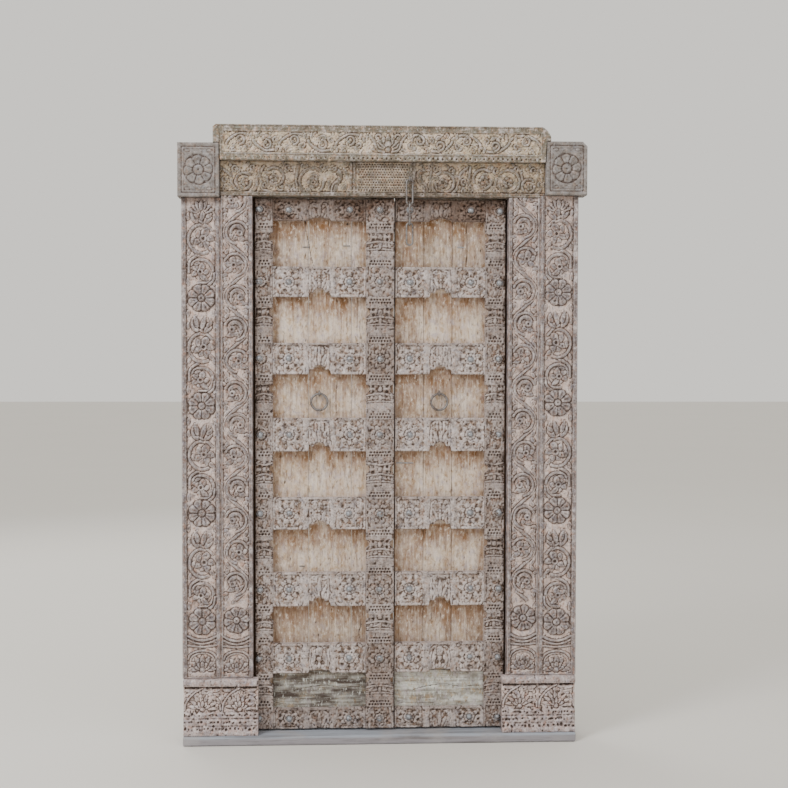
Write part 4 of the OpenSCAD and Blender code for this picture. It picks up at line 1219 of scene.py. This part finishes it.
def carve_bottom_board(side, x, z, rng):
    """Board with level grain and an arched crack."""
    c = Carving(x, z, 2.5, 1.7)
    shape = c.h.shape
    c.h += (soft_noise(rng, shape, (4, 120)) - 0.5) * 0.8 + (soft_noise(rng, shape, (2.2, 50)) - 0.5) * 0.8
    way = -1 if side == "left" else 1
    mid = (x[0] + x[1]) / 2
    arch = [(mid - 90, 168), (mid - 40, 180), (mid + 20, 186), (mid + 70, 178), (mid + 140, 180)]
    c.cut(spline(arch), 2.4, 2.2)
    c.cut(spline([(x[0] + 4, z[0] + 18), (x[0] + 40, z[0] + 12), (mid - 20, z[0] + 9)]), 2.0, 1.6)
    # Rusty stain and painted shadow along the top, below the rail above.
    stain = 0.7 * smooth_step((c.z - z[1] + 34) / 30) * soft_noise(rng, shape, (14, 60))
    patches = soft_noise(rng, shape, (16, 60)) * 0.6 + soft_noise(rng, shape, (7, 24)) * 0.4
    tone = (0.45 if way < 0 else -0.3) + 0.75 * smooth_step((patches - 0.25) * 2)
    c.h = np.clip(c.h, 0.1, 2.5)
    return c, {"stain": np.broadcast_to(stain, shape), "tone": tone}


# ---------------------------------------------------------------- modelling by hand

def deselect():
    if bpy.context.object and bpy.context.object.mode != "OBJECT":
        bpy.ops.object.mode_set(mode="OBJECT")
    bpy.ops.object.select_all(action="DESELECT")


def apply_place():
    bpy.ops.object.transform_apply(location=True, rotation=True, scale=True)


def apply_modifier(piece, kind, **settings):
    made = piece.modifiers.new(kind.title(), kind)
    for key, value in settings.items():
        setattr(made, key, value)
    bpy.ops.object.modifier_apply(modifier=made.name)


def wavering(name, size):
    """Cloud texture for a Displace modifier, with features of that size in metres."""
    texture = bpy.data.textures.get(name) or bpy.data.textures.new(name, "CLOUDS")
    texture.noise_scale = size
    return texture


def hewn_timber(name, low, high, edge=3.0, waver=1.6, cuts=14):
    """Squared timber between two corners in millimetres, with eased edges and adzed faces."""
    deselect()
    middle = [(a + b) / 2 * MM for a, b in zip(low, high)]
    bpy.ops.mesh.primitive_cube_add(size=1, location=middle)
    piece = bpy.context.object
    piece.name = piece.data.name = name
    piece.scale = [(b - a) * MM for a, b in zip(low, high)]
    apply_place()
    apply_modifier(piece, "BEVEL", width=edge * MM, segments=2)
    bpy.ops.object.mode_set(mode="EDIT")
    bpy.ops.mesh.select_all(action="SELECT")
    bpy.ops.mesh.subdivide(number_cuts=cuts)
    bpy.ops.object.mode_set(mode="OBJECT")
    if waver:
        apply_modifier(piece, "DISPLACE", texture=wavering("adze marks", 0.07), texture_coords="GLOBAL",
                       strength=waver * MM, mid_level=1.0)
    bpy.ops.object.shade_smooth_by_angle(angle=math.radians(50))
    return piece


def joined(name, pieces):
    """One piece from several."""
    deselect()
    for piece in pieces:
        piece.select_set(True)
    bpy.context.view_layer.objects.active = pieces[0]
    if len(pieces) > 1:
        bpy.ops.object.join()
    pieces[0].name = pieces[0].data.name = name
    return pieces[0]


def copy_to(master, spot, turn=(0, 0, 0), scale=(1, 1, 1)):
    """A copy with its own mesh, placed in millimetres."""
    made = master.copy()
    made.data = master.data.copy()
    bpy.context.scene.collection.objects.link(made)
    deselect()
    made.select_set(True)
    bpy.context.view_layer.objects.active = made
    made.location = [v * MM for v in spot]
    made.rotation_euler = [math.radians(v) for v in turn]
    made.scale = scale
    apply_place()
    return made


def drop(master):
    bpy.data.objects.remove(master)


def pick(piece, test):
    """Selects, in edit mode, the vertices whose place passes the test."""
    bpy.ops.object.mode_set(mode="EDIT")
    bpy.ops.mesh.select_mode(type="VERT")
    bpy.ops.mesh.select_all(action="DESELECT")
    bpy.ops.object.mode_set(mode="OBJECT")
    for v in piece.data.vertices:
        v.select = test(v.co)
    bpy.ops.object.mode_set(mode="EDIT")


def wire_ring(name, major, minor, segments=40, sides=10):
    """Forged ring in the X-Z plane, about the origin, in millimetres."""
    deselect()
    bpy.ops.mesh.primitive_torus_add(major_radius=major * MM, minor_radius=minor * MM,
                                     major_segments=segments, minor_segments=sides,
                                     rotation=(math.pi / 2, 0, 0))
    piece = bpy.context.object
    piece.name = piece.data.name = name
    apply_place()
    return piece


def hammered(piece, amount=0.5):
    """Uneven forged surface; amount in millimetres."""
    deselect()
    piece.select_set(True)
    bpy.context.view_layer.objects.active = piece
    apply_modifier(piece, "DISPLACE", texture=wavering("hammer marks", 0.012), texture_coords="GLOBAL",
                   strength=amount * MM, mid_level=0.9)
    bpy.ops.object.shade_smooth()
    return piece


def forged_pin(name, x, y, z, radius, length, facets=12):
    """Round bar along Y from y to y + length, with eased ends."""
    deselect()
    bpy.ops.mesh.primitive_cylinder_add(vertices=facets, radius=radius * MM, depth=length * MM,
                                        location=(x * MM, (y + length / 2) * MM, z * MM),
                                        rotation=(math.pi / 2, 0, 0))
    piece = bpy.context.object
    piece.name = piece.data.name = name
    apply_place()
    apply_modifier(piece, "BEVEL", width=radius * 0.15 * MM, segments=2, limit_method="ANGLE")
    bpy.ops.object.shade_smooth_by_angle(angle=math.radians(40))
    return piece


# ---------------------------------------------------------------- operators

def flipped(span):
    return (-span[1], -span[0])


class DOOR_OT_pilasters(bpy.types.Operator):
    """Carve the two outer pilasters"""

    bl_idname = "door.pilasters"
    bl_label = "Outer Pilasters"

    def execute(self, context):
        high, step = depth_and_step("frame_depth")
        for side in SIDES:
            node = f"{side}_outer_pilaster"
            x, y, z = span_of(node)
            outer = x if side == "left" else flipped(x)
            carving = carve_pilaster(outer, z, PILASTER_ROSETTES[side], high, seed_of(node))
            if side == "right":
                carving = carving.mirrored()
            places = upright_grid(x, *z, step)
            piece = board(f"carved_{node}", carving, places, *y)
            place(piece, finish_named("rosy_frame_wood"), "frame_wood", node)
        return {"FINISHED"}


class DOOR_OT_jambs(bpy.types.Operator):
    """Carve the two inner jambs"""

    bl_idname = "door.jambs"
    bl_label = "Inner Jambs"

    def execute(self, context):
        high, step = depth_and_step("frame_depth")
        for side in SIDES:
            node = f"{side}_inner_jamb"
            x, y, z = span_of(node)
            outer = x if side == "left" else flipped(x)
            carving = carve_jamb(outer, z, *JAMB_VINES[side], high - 1, seed_of(node))
            if side == "right":
                carving = carving.mirrored()
            places = upright_grid(x, *z, step)
            piece = board(f"carved_{node}", carving, places, *y)
            place(piece, finish_named("rosy_frame_wood"), "frame_wood", node)
        return {"FINISHED"}


class DOOR_OT_plinths(bpy.types.Operator):
    """Carve the four plinths; the inner ones lap in front of the leaves"""

    bl_idname = "door.plinths"
    bl_label = "Plinths"

    def execute(self, context):
        step = sizes().step / MM
        for side in SIDES:
            for rank in ("outer", "inner"):
                node = f"{side}_{rank}_plinth"
                x, y, z = span_of(node)
                carving = carve_plinth(x, z, PLINTH_RELIEF, seed_of(node))
                places = upright_grid(x, *z, step)
                back = y[1] if rank == "outer" else -66
                piece = board(f"carved_{node}", carving, places, y[0], back)
                if rank == "inner":
                    left, right = span_of(f"{side}_inner_jamb")[0]
                    rear = hewn_timber("rear", (left, -72, z[0]), (right, y[1], z[1] - 1), 1.0, 0.4, 3)
                    piece = joined(piece.name, [piece, rear])
                place(piece, finish_named("rosy_plinth_wood"), "frame_wood", node)
        return {"FINISHED"}


class DOOR_OT_lintels(bpy.types.Operator):
    """Carve the upper and the lower lintel"""

    bl_idname = "door.lintels"
    bl_label = "Lintels"

    def execute(self, context):
        high, step = depth_and_step("lintel_depth")
        finish = finish_named("sandy_lintel_wood")
        x, y, z = span_of("lower_lintel")
        seat_x, seat_z = span_of("right_outer_pilaster")[0][0], span_of("right_outer_pilaster")[2][1]
        carving = carve_lower_lintel(x, z, high, seed_of("lower_lintel"))
        places = upright_grid(x, lambda c: z[0] if c < seat_x else seat_z, z[1], step)
        place(board("carved_lower_lintel", carving, places, *y), finish, "lintel_wood", "lower_lintel")
        inner, lower_top = x, z[1]
        x, y, z = span_of("upper_lintel")
        seats = [span_of(f"{s}_corner_block")[2][1] + 1 for s in SIDES]
        carving = carve_upper_lintel(x, z, LINTEL_FIELD, BEAD_ROW, high + 1, seed_of("upper_lintel"))

        def foot(c):
            return seats[0] if c < inner[0] else seats[1] if c > inner[1] else lower_top

        def head(c):
            return z[1] - max(0, 8 - (c - x[0]) * 0.8, (34 - (x[1] - c)) ** 2 / 34 if x[1] - c < 34 else 0)

        places = upright_grid(x, foot, head, step)
        place(board("carved_upper_lintel", carving, places, *y), finish, "lintel_wood", "upper_lintel")
        return {"FINISHED"}


class DOOR_OT_corner_blocks(bpy.types.Operator):
    """Carve the two corner blocks"""

    bl_idname = "door.corner_blocks"
    bl_label = "Corner Blocks"

    def execute(self, context):
        high, step = depth_and_step("block_depth")
        for side, cut in zip(SIDES, BLOCK_CHAMFERS):
            node = f"{side}_corner_block"
            x, y, z = span_of(node)
            carving = carve_block(x, z, high, seed_of(node))
            places = upright_grid(x, z[0], lambda c: z[1] - max(0, cut - (x[1] - c)), step)
            piece = board(f"carved_{node}", carving, places, *y)
            place(piece, finish_named("lilac_block_wood"), "block_wood", node)
        return {"FINISHED"}


class DOOR_OT_rails(bpy.types.Operator):
    """Carve the eight rails of each leaf"""

    bl_idname = "door.rails"
    bl_label = "Rails"

    def execute(self, context):
        high, step = depth_and_step("leaf_depth")
        outline = CUSP + [(-a, b) for a, b in CUSP[-2::-1]]
        for side in SIDES:
            for n in RAILS:
                node = f"{side}_rail_{n}"
                x, y, z = span_of(node)
                notch = NOTCH_X[side]
                carving = carve_rail(n, x, z, RAIL_BOSSES[side], notch, high, seed_of(node))

                def foot(c):
                    return z[0] + NOTCH_DEPTHS[n - 1] * np.interp(c - notch, *zip(*outline))

                places = upright_grid(x, foot, z[1], step)
                piece = board(f"carved_{node}", carving, places, y[0], y[1] + OVERLAP)
                place(piece, finish_named("grey_leaf_wood"), "leaf_wood", node)
        return {"FINISHED"}


class DOOR_OT_stiles(bpy.types.Operator):
    """Carve the centre stile and the two hanging stiles"""

    bl_idname = "door.stiles"
    bl_label = "Stiles"

    def execute(self, context):
        high, step = depth_and_step("leaf_depth")
        rails = [span_of(f"left_rail_{n}")[2] for n in RAILS]
        levels = [((z[0] + z[1]) / 2, min(96, z[1] - z[0])) for z in rails]
        for node, boss_x in zip(STILES, STILE_FLOWERS):
            x, y, z = span_of(node)
            carving = carve_stile(x, z, levels, boss_x, high + 1, seed_of(node))

            def cusp(r):
                return max([0] + [math.sqrt(max(0, 225 - (r - w) ** 2)) - 2 for w in WAISTS])

            def left(r):
                return x[0] + (cusp(r) if node != "left_hanging_stile" else 0)

            def right(r):
                return x[1] - (cusp(r) if node != "right_hanging_stile" else 0)

            piece = board(f"carved_{node}", carving, level_grid(z, left, right, step), y[0], y[1] + OVERLAP)
            place(piece, finish_named("grey_leaf_wood"), "leaf_wood", node)
        return {"FINISHED"}


class DOOR_OT_planks(bpy.types.Operator):
    """Lay the upright planks of each leaf"""

    bl_idname = "door.planks"
    bl_label = "Planks"

    def execute(self, context):
        for side in SIDES:
            spans = [span_of(f"{side}_plank_{n}") for n in (1, 2, 3)]
            x = (spans[0][0][0], spans[2][0][1])
            z = (spans[1][2][0], max(s[2][1] for s in spans))
            carving, fields = carve_leaf_planks(side, x, z, seed_of(f"{side} planks"))
            for n, (px, py, pz) in zip((1, 2, 3), spans):
                places = upright_grid(px, *pz, PLANK_STEP, PLANK_STEP_UP)
                piece = board(f"{side}_plank_{n}_scraped", carving, places, py[0], py[1], 1.5, fields)
                place(piece, finish_named("scraped_plank_wood"), "panel_wood", f"{side}_plank_{n}")
        return {"FINISHED"}


class DOOR_OT_bottom_boards(bpy.types.Operator):
    """Lay the level boards of the two bottom panels"""

    bl_idname = "door.bottom_boards"
    bl_label = "Bottom Boards"

    def execute(self, context):
        for side in SIDES:
            node = f"{side}_bottom_board"
            x, y, z = span_of(node)
            carving, fields = carve_bottom_board(side, x, z, seed_of(node))
            places = upright_grid(x, z[0] - 3, z[1] + 3, PLANK_STEP)
            piece = board(f"{node}_scraped", carving, places, y[0], y[1] + 1, 1.0, fields)
            place(piece, finish_named("bottom_board_wood"), "panel_wood", node)
        return {"FINISHED"}


class DOOR_OT_sill(bpy.types.Operator):
    """Hew the sill"""

    bl_idname = "door.sill"
    bl_label = "Sill"

    def execute(self, context):
        sill = hewn_timber("hewn_sill", *zip(*span_of("sill")), 5, 1.2, 18)
        place(sill, finish_named("worn_sill_wood"), "sill_wood", "sill")
        return {"FINISHED"}


class DOOR_OT_back_timbers(bpy.types.Operator):
    """Hew the head beam, the two back posts and the battens"""

    bl_idname = "door.back_timbers"
    bl_label = "Back Timbers"

    def execute(self, context):
        beam = hewn_timber("hewn_head_beam", *zip(*span_of("head_beam")), 4, 1.6, 11)
        place(beam, finish_named("level_timber"), "plain_wood", "head_beam")
        foot, beam_low = 32, span_of("head_beam")[2][0]
        for side, way in zip(SIDES, (-1, 1)):
            x, y, z = span_of(f"{side}_back_post")
            lip_x, post_x = sorted(x, key=abs)
            shoulder = lip_x + way * 12
            post = hewn_timber("post", (min(shoulder, post_x), y[0], foot),
                               (max(shoulder, post_x), y[1], beam_low), 3, 1.4, 11)
            lip = hewn_timber("lip", (min(lip_x, shoulder + way * 4), 15, foot),
                              (max(lip_x, shoulder + way * 4), y[1], beam_low), 1.5, 0.5, 5)
            piece = joined(f"hewn_{side}_back_post", [post, lip])
            place(piece, finish_named("upright_timber"), "plain_wood", f"{side}_back_post")
            x, y, z = span_of(f"{side}_battens")
            inner, outer = (x[1], x[0]) if side == "left" else (x[0] - 1, x[1])
            strip = hewn_timber("strip", (min(inner, inner + way * EDGE_STRIP), y[0] - 1, z[0]),
                                (max(inner, inner + way * EDGE_STRIP), y[1], z[1]), 1, 0.3, 6)
            parts = [strip]
            near = inner + way * (EDGE_STRIP - 3)
            for n in BATTEN_RAILS:
                mid = sum(span_of(f"{side}_rail_{n}")[2]) / 2
                parts.append(hewn_timber("batten", (min(near, outer), y[0] - 1, mid - BATTEN_HALF),
                                         (max(near, outer), y[1], mid + BATTEN_HALF), 3, 1.2, 4))
            piece = joined(f"hewn_{side}_battens", parts)
            place(piece, finish_named("level_timber"), "plain_wood", f"{side}_battens")
        return {"FINISHED"}


class DOOR_OT_pegs_and_pivots(bpy.types.Operator):
    """Drive the frame's pegs and the leaves' pivot pins"""

    bl_idname = "door.pegs_and_pivots"
    bl_label = "Pegs and Pivots"

    def execute(self, context):
        x, y, z = span_of("frame_pegs")
        mid, radius = (z[0] + z[1]) / 2, (z[1] - z[0]) / 2
        outer = x[1] - radius
        parts = [forged_pin("peg", s * px, y[0], mid, radius, y[1] - y[0], 14)
                 for s in (-1, 1) for px in (outer, outer - 70)]
        place(joined("turned_frame_pegs", parts), finish_named("turned_peg_wood"), "peg_wood", "frame_pegs")
        for side in SIDES:
            x, y, z = span_of(f"{side}_pivots")
            parts = []
            for pin_z in ((z[0], 120), (1800, z[1])):
                deselect()
                spot = [sum(span) / 2 * MM for span in (x, y, pin_z)]
                bpy.ops.mesh.primitive_cylinder_add(vertices=18, radius=(x[1] - x[0]) / 2 * MM,
                                                    depth=(pin_z[1] - pin_z[0]) * MM, location=spot)
                pin = bpy.context.object
                apply_place()
                apply_modifier(pin, "BEVEL", width=1.5 * MM, segments=2, limit_method="ANGLE")
                bpy.ops.object.shade_smooth_by_angle(angle=math.radians(40))
                parts.append(pin)
            piece = joined(f"forged_{side}_pivots", parts)
            place(piece, finish_named("forged_iron"), "iron", f"{side}_pivots")
        return {"FINISHED"}


class DOOR_OT_bosses(bpy.types.Operator):
    """Drive the domed iron bosses of the rails and stiles"""

    bl_idname = "door.bosses"
    bl_label = "Bosses"

    def execute(self, context):
        facets = sizes().boss_facets
        deselect()
        bpy.ops.mesh.primitive_uv_sphere_add(segments=facets, ring_count=10, radius=1)
        master = bpy.context.object
        bpy.ops.object.mode_set(mode="EDIT")
        bpy.ops.mesh.select_all(action="SELECT")
        bpy.ops.mesh.bisect(plane_co=(0, 0, 0.02), plane_no=(0, 0, 1), clear_inner=True)
        bpy.ops.mesh.select_mode(type="EDGE")
        bpy.ops.mesh.select_all(action="DESELECT")
        bpy.ops.mesh.select_non_manifold()
        bpy.ops.mesh.extrude_region_move(TRANSFORM_OT_translate={"value": (0, 0, -0.02)})
        bpy.ops.transform.resize(value=(1.12, 1.12, 1))
        bpy.ops.mesh.extrude_region_move(TRANSFORM_OT_translate={"value": (0, 0, -0.3)})
        bpy.ops.mesh.edge_face_add()
        bpy.ops.object.mode_set(mode="OBJECT")
        bpy.ops.object.shade_smooth_by_angle(angle=math.radians(55))
        depths = {"rail": span_of("left_rail_2")[1][0], "hanging": span_of("left_hanging_stile")[1][0],
                  "centre": span_of("centre_stile")[1][0]}
        for side in SIDES:
            rng = seed_of(f"{side} bosses")
            spots = []
            for n in RAILS:
                rail = span_of(f"{side}_rail_{n}")[2]
                mid = (rail[0] + rail[1]) / 2
                spots += [(px, depths["rail"], mid) for px in RAIL_BOSSES[side]]
                spots.append((HANGING_BOSSES[side], depths["hanging"], mid))
                if side == "left":
                    spots.append((CENTRE_BOSS, depths["centre"], mid))
            parts = []
            for px, py, pz in spots:
                wide, tilt = rng.uniform(9.2, 10.2), rng.uniform(-7, 7, 2)
                spot = (px + rng.uniform(-2, 2), py + 1.2, pz + rng.uniform(-2, 2))
                scale = (wide * MM, wide * MM, 8 * MM)
                parts.append(copy_to(master, spot, (90 + tilt[0], tilt[1], 0), scale))
            piece = hammered(joined(f"forged_{side}_bosses", parts), 0.4)
            # Lighter iron with painted highlights.
            place(piece, finish_named("rubbed_iron"), "iron", f"{side}_bosses")
        drop(master)
        return {"FINISHED"}


class DOOR_OT_cramps(bpy.types.Operator):
    """Drive the small iron cramps of the planks"""

    bl_idname = "door.cramps"
    bl_label = "Cramps"

    def execute(self, context):
        for side in SIDES:
            node = f"{side}_cramps"
            front = span_of(node)[1][0]
            parts = []
            for px, pz, length in CRAMPS[side]:
                bar = hewn_timber("bar", (px - length / 2, front, pz - 2),
                                  (px + length / 2, front + 3, pz + 2), 0.6, 0.0, 2)
                legs = [hewn_timber("leg", (px + s * (length / 2 - 1) - 1, front + 1, pz - 2),
                                    (px + s * (length / 2 - 1) + 1, front + 14, pz + 2), 0.3, 0.0, 1)
                        for s in (-1, 1)]
                parts += [bar] + legs
            # The right cramps take the lighter iron with painted highlights.
            finish = finish_named("forged_iron" if side == "left" else "rubbed_iron")
            place(hammered(joined(f"forged_{side}_cramps", parts), 0.5), finish, "iron", node)
        return {"FINISHED"}


def eye_staple(name, node, shank):
    """Eye of wire with a sideways hole, on a shank driven into the wood."""
    x, y, z = span_of(node)
    wire = 3.0
    radius = (z[1] - z[0]) / 2 - wire
    spot = ((x[0] + x[1]) / 2, y[0] + radius + wire, (z[0] + z[1]) / 2)
    master = wire_ring("eye", radius, wire, 24, 8)
    eye = copy_to(master, spot, (0, 0, 90))
    drop(master)
    pin = forged_pin("shank", spot[0], spot[1] + radius - 1, spot[2], 3.5, shank, 10)
    return hammered(joined(name, [eye, pin]), 0.4)


class DOOR_OT_rings(bpy.types.Operator):
    """Hang the two pull rings from their staples"""

    bl_idname = "door.rings"
    bl_label = "Pull Rings"

    def execute(self, context):
        for side in SIDES:
            node = f"{side}_ring"
            x, y, z = span_of(node)
            wire = (y[1] - y[0]) / 2
            radius = (x[1] - x[0]) / 2 - wire
            master = wire_ring("ring", radius, wire, 56, 12)
            spot = [(s[0] + s[1]) / 2 for s in (x, y, z)]
            ring = copy_to(master, spot, (0, 0, 0))
            drop(master)
            place(hammered(joined(f"forged_{node}", [ring]), 0.9), finish_named("forged_iron"), "iron", node)
            staple = f"{side}_ring_staple"
            back = span_of(staple)[1][1] - span_of(staple)[1][0] - 18
            place(eye_staple(f"forged_{staple}", staple, back), finish_named("forged_iron"), "iron", staple)
        return {"FINISHED"}


class DOOR_OT_chain(bpy.types.Operator):
    """Hang the three long links of the chain from the lintel"""

    bl_idname = "door.chain"
    bl_label = "Chain"

    def execute(self, context):
        place(eye_staple("forged_chain_staple", "chain_staple", 52), finish_named("forged_iron"), "iron",
              "chain_staple")
        wire = 3.5
        for n in (1, 2, 3):
            node = f"chain_link_{n}"
            x, y, z = span_of(node)
            bend = 14 - wire
            run = (z[1] - z[0]) - 28
            master = wire_ring("link", bend, wire, 32, 10)
            for way in (-1, 1):
                pick(master, lambda co: co.z * way > 0.1 * MM)
                bpy.ops.transform.translate(value=(0, 0, way * run / 2 * MM))
            bpy.ops.object.mode_set(mode="OBJECT")
            spot = [(s[0] + s[1]) / 2 for s in (x, y, z)]
            link = copy_to(master, spot, (0, 0, 90 if n == 2 else 0))
            drop(master)
            place(hammered(joined(f"forged_{node}", [link]), 0.5), finish_named("forged_iron"), "iron", node)
        return {"FINISHED"}


class DOOR_OT_stage(bpy.types.Operator):
    """Set the floor, the soft lights and the camera"""

    bl_idname = "door.stage"
    bl_label = "Studio"

    def execute(self, context):
        scene = context.scene
        deselect()
        bpy.ops.mesh.primitive_plane_add(size=60, location=(0, 0, -0.0005))
        floor = context.object
        floor.name = "studio_floor"
        floor.data.materials.append(finish_named("studio_floor"))
        world = bpy.data.worlds.new("studio")
        world.use_nodes = True
        world.node_tree.nodes["Background"].inputs["Color"].default_value = (*tint(226, 223, 217), 1)
        world.node_tree.nodes["Background"].inputs["Strength"].default_value = 1.3
        scene.world = world
        lamps = (("key", (-2.9, -3.0, 4.2), 1.8, 160), ("fill", (3.4, -4.4, 2.0), 3.0, 28),
                 ("back", (-2.5, 4.5, 3.6), 3.0, 80))
        for name, spot, size, power in lamps:
            deselect()
            bpy.ops.object.light_add(type="AREA", location=spot)
            lamp = context.object
            lamp.name = name
            lamp.data.shape = "DISK"
            lamp.data.size = size
            lamp.data.energy = power
            aim = np.array((0, 0, 1.1)) - np.array(spot)
            lean = math.atan2(math.hypot(aim[0], aim[1]), -aim[2])
            lamp.rotation_euler = (lean, 0, math.atan2(-aim[0], aim[1]))
        deselect()
        bpy.ops.object.camera_add(location=(-0.183, -0.112 - sizes().camera_distance, 1.364))
        camera = context.object
        camera.rotation_euler = (math.radians(90 - 1.92), math.radians(-0.11), math.radians(-2.88))
        camera.data.sensor_width = 36
        camera.data.lens = LENS
        camera.data.clip_end = 200
        scene.camera = camera
        return {"FINISHED"}


STEPS = (
    DOOR_OT_stage, DOOR_OT_sill, DOOR_OT_back_timbers, DOOR_OT_pegs_and_pivots, DOOR_OT_pilasters,
    DOOR_OT_jambs, DOOR_OT_plinths, DOOR_OT_lintels, DOOR_OT_corner_blocks, DOOR_OT_planks,
    DOOR_OT_bottom_boards, DOOR_OT_rails, DOOR_OT_stiles, DOOR_OT_bosses, DOOR_OT_cramps, DOOR_OT_rings,
    DOOR_OT_chain,
)


class DOOR_PT_panel(bpy.types.Panel):
    """Steps and settings of the carved door"""

    bl_idname = "DOOR_PT_panel"
    bl_label = "Carved Door"
    bl_space_type = "VIEW_3D"
    bl_region_type = "UI"
    bl_category = "Door"

    def draw(self, context):
        for step in STEPS:
            self.layout.operator(step.bl_idname)
        for group in (context.scene.door_sizes, context.scene.door_colours):
            box = self.layout.box()
            for key in group.bl_rna.properties.keys():
                if key not in ("rna_type", "name"):
                    box.prop(group, key)


CLASSES = (DoorColours, DoorSizes, *STEPS, DOOR_PT_panel)


def register():
    for cls in CLASSES:
        bpy.utils.register_class(cls)
    bpy.types.Scene.door_colours = PointerProperty(type=DoorColours)
    bpy.types.Scene.door_sizes = PointerProperty(type=DoorSizes)


def unregister():
    del bpy.types.Scene.door_sizes
    del bpy.types.Scene.door_colours
    for cls in reversed(CLASSES):
        bpy.utils.unregister_class(cls)


def main():
    register()
    for step in STEPS:
        group, name = step.bl_idname.split(".")
        getattr(getattr(bpy.ops, group), name)()


if __name__ == "__main__":
    main()
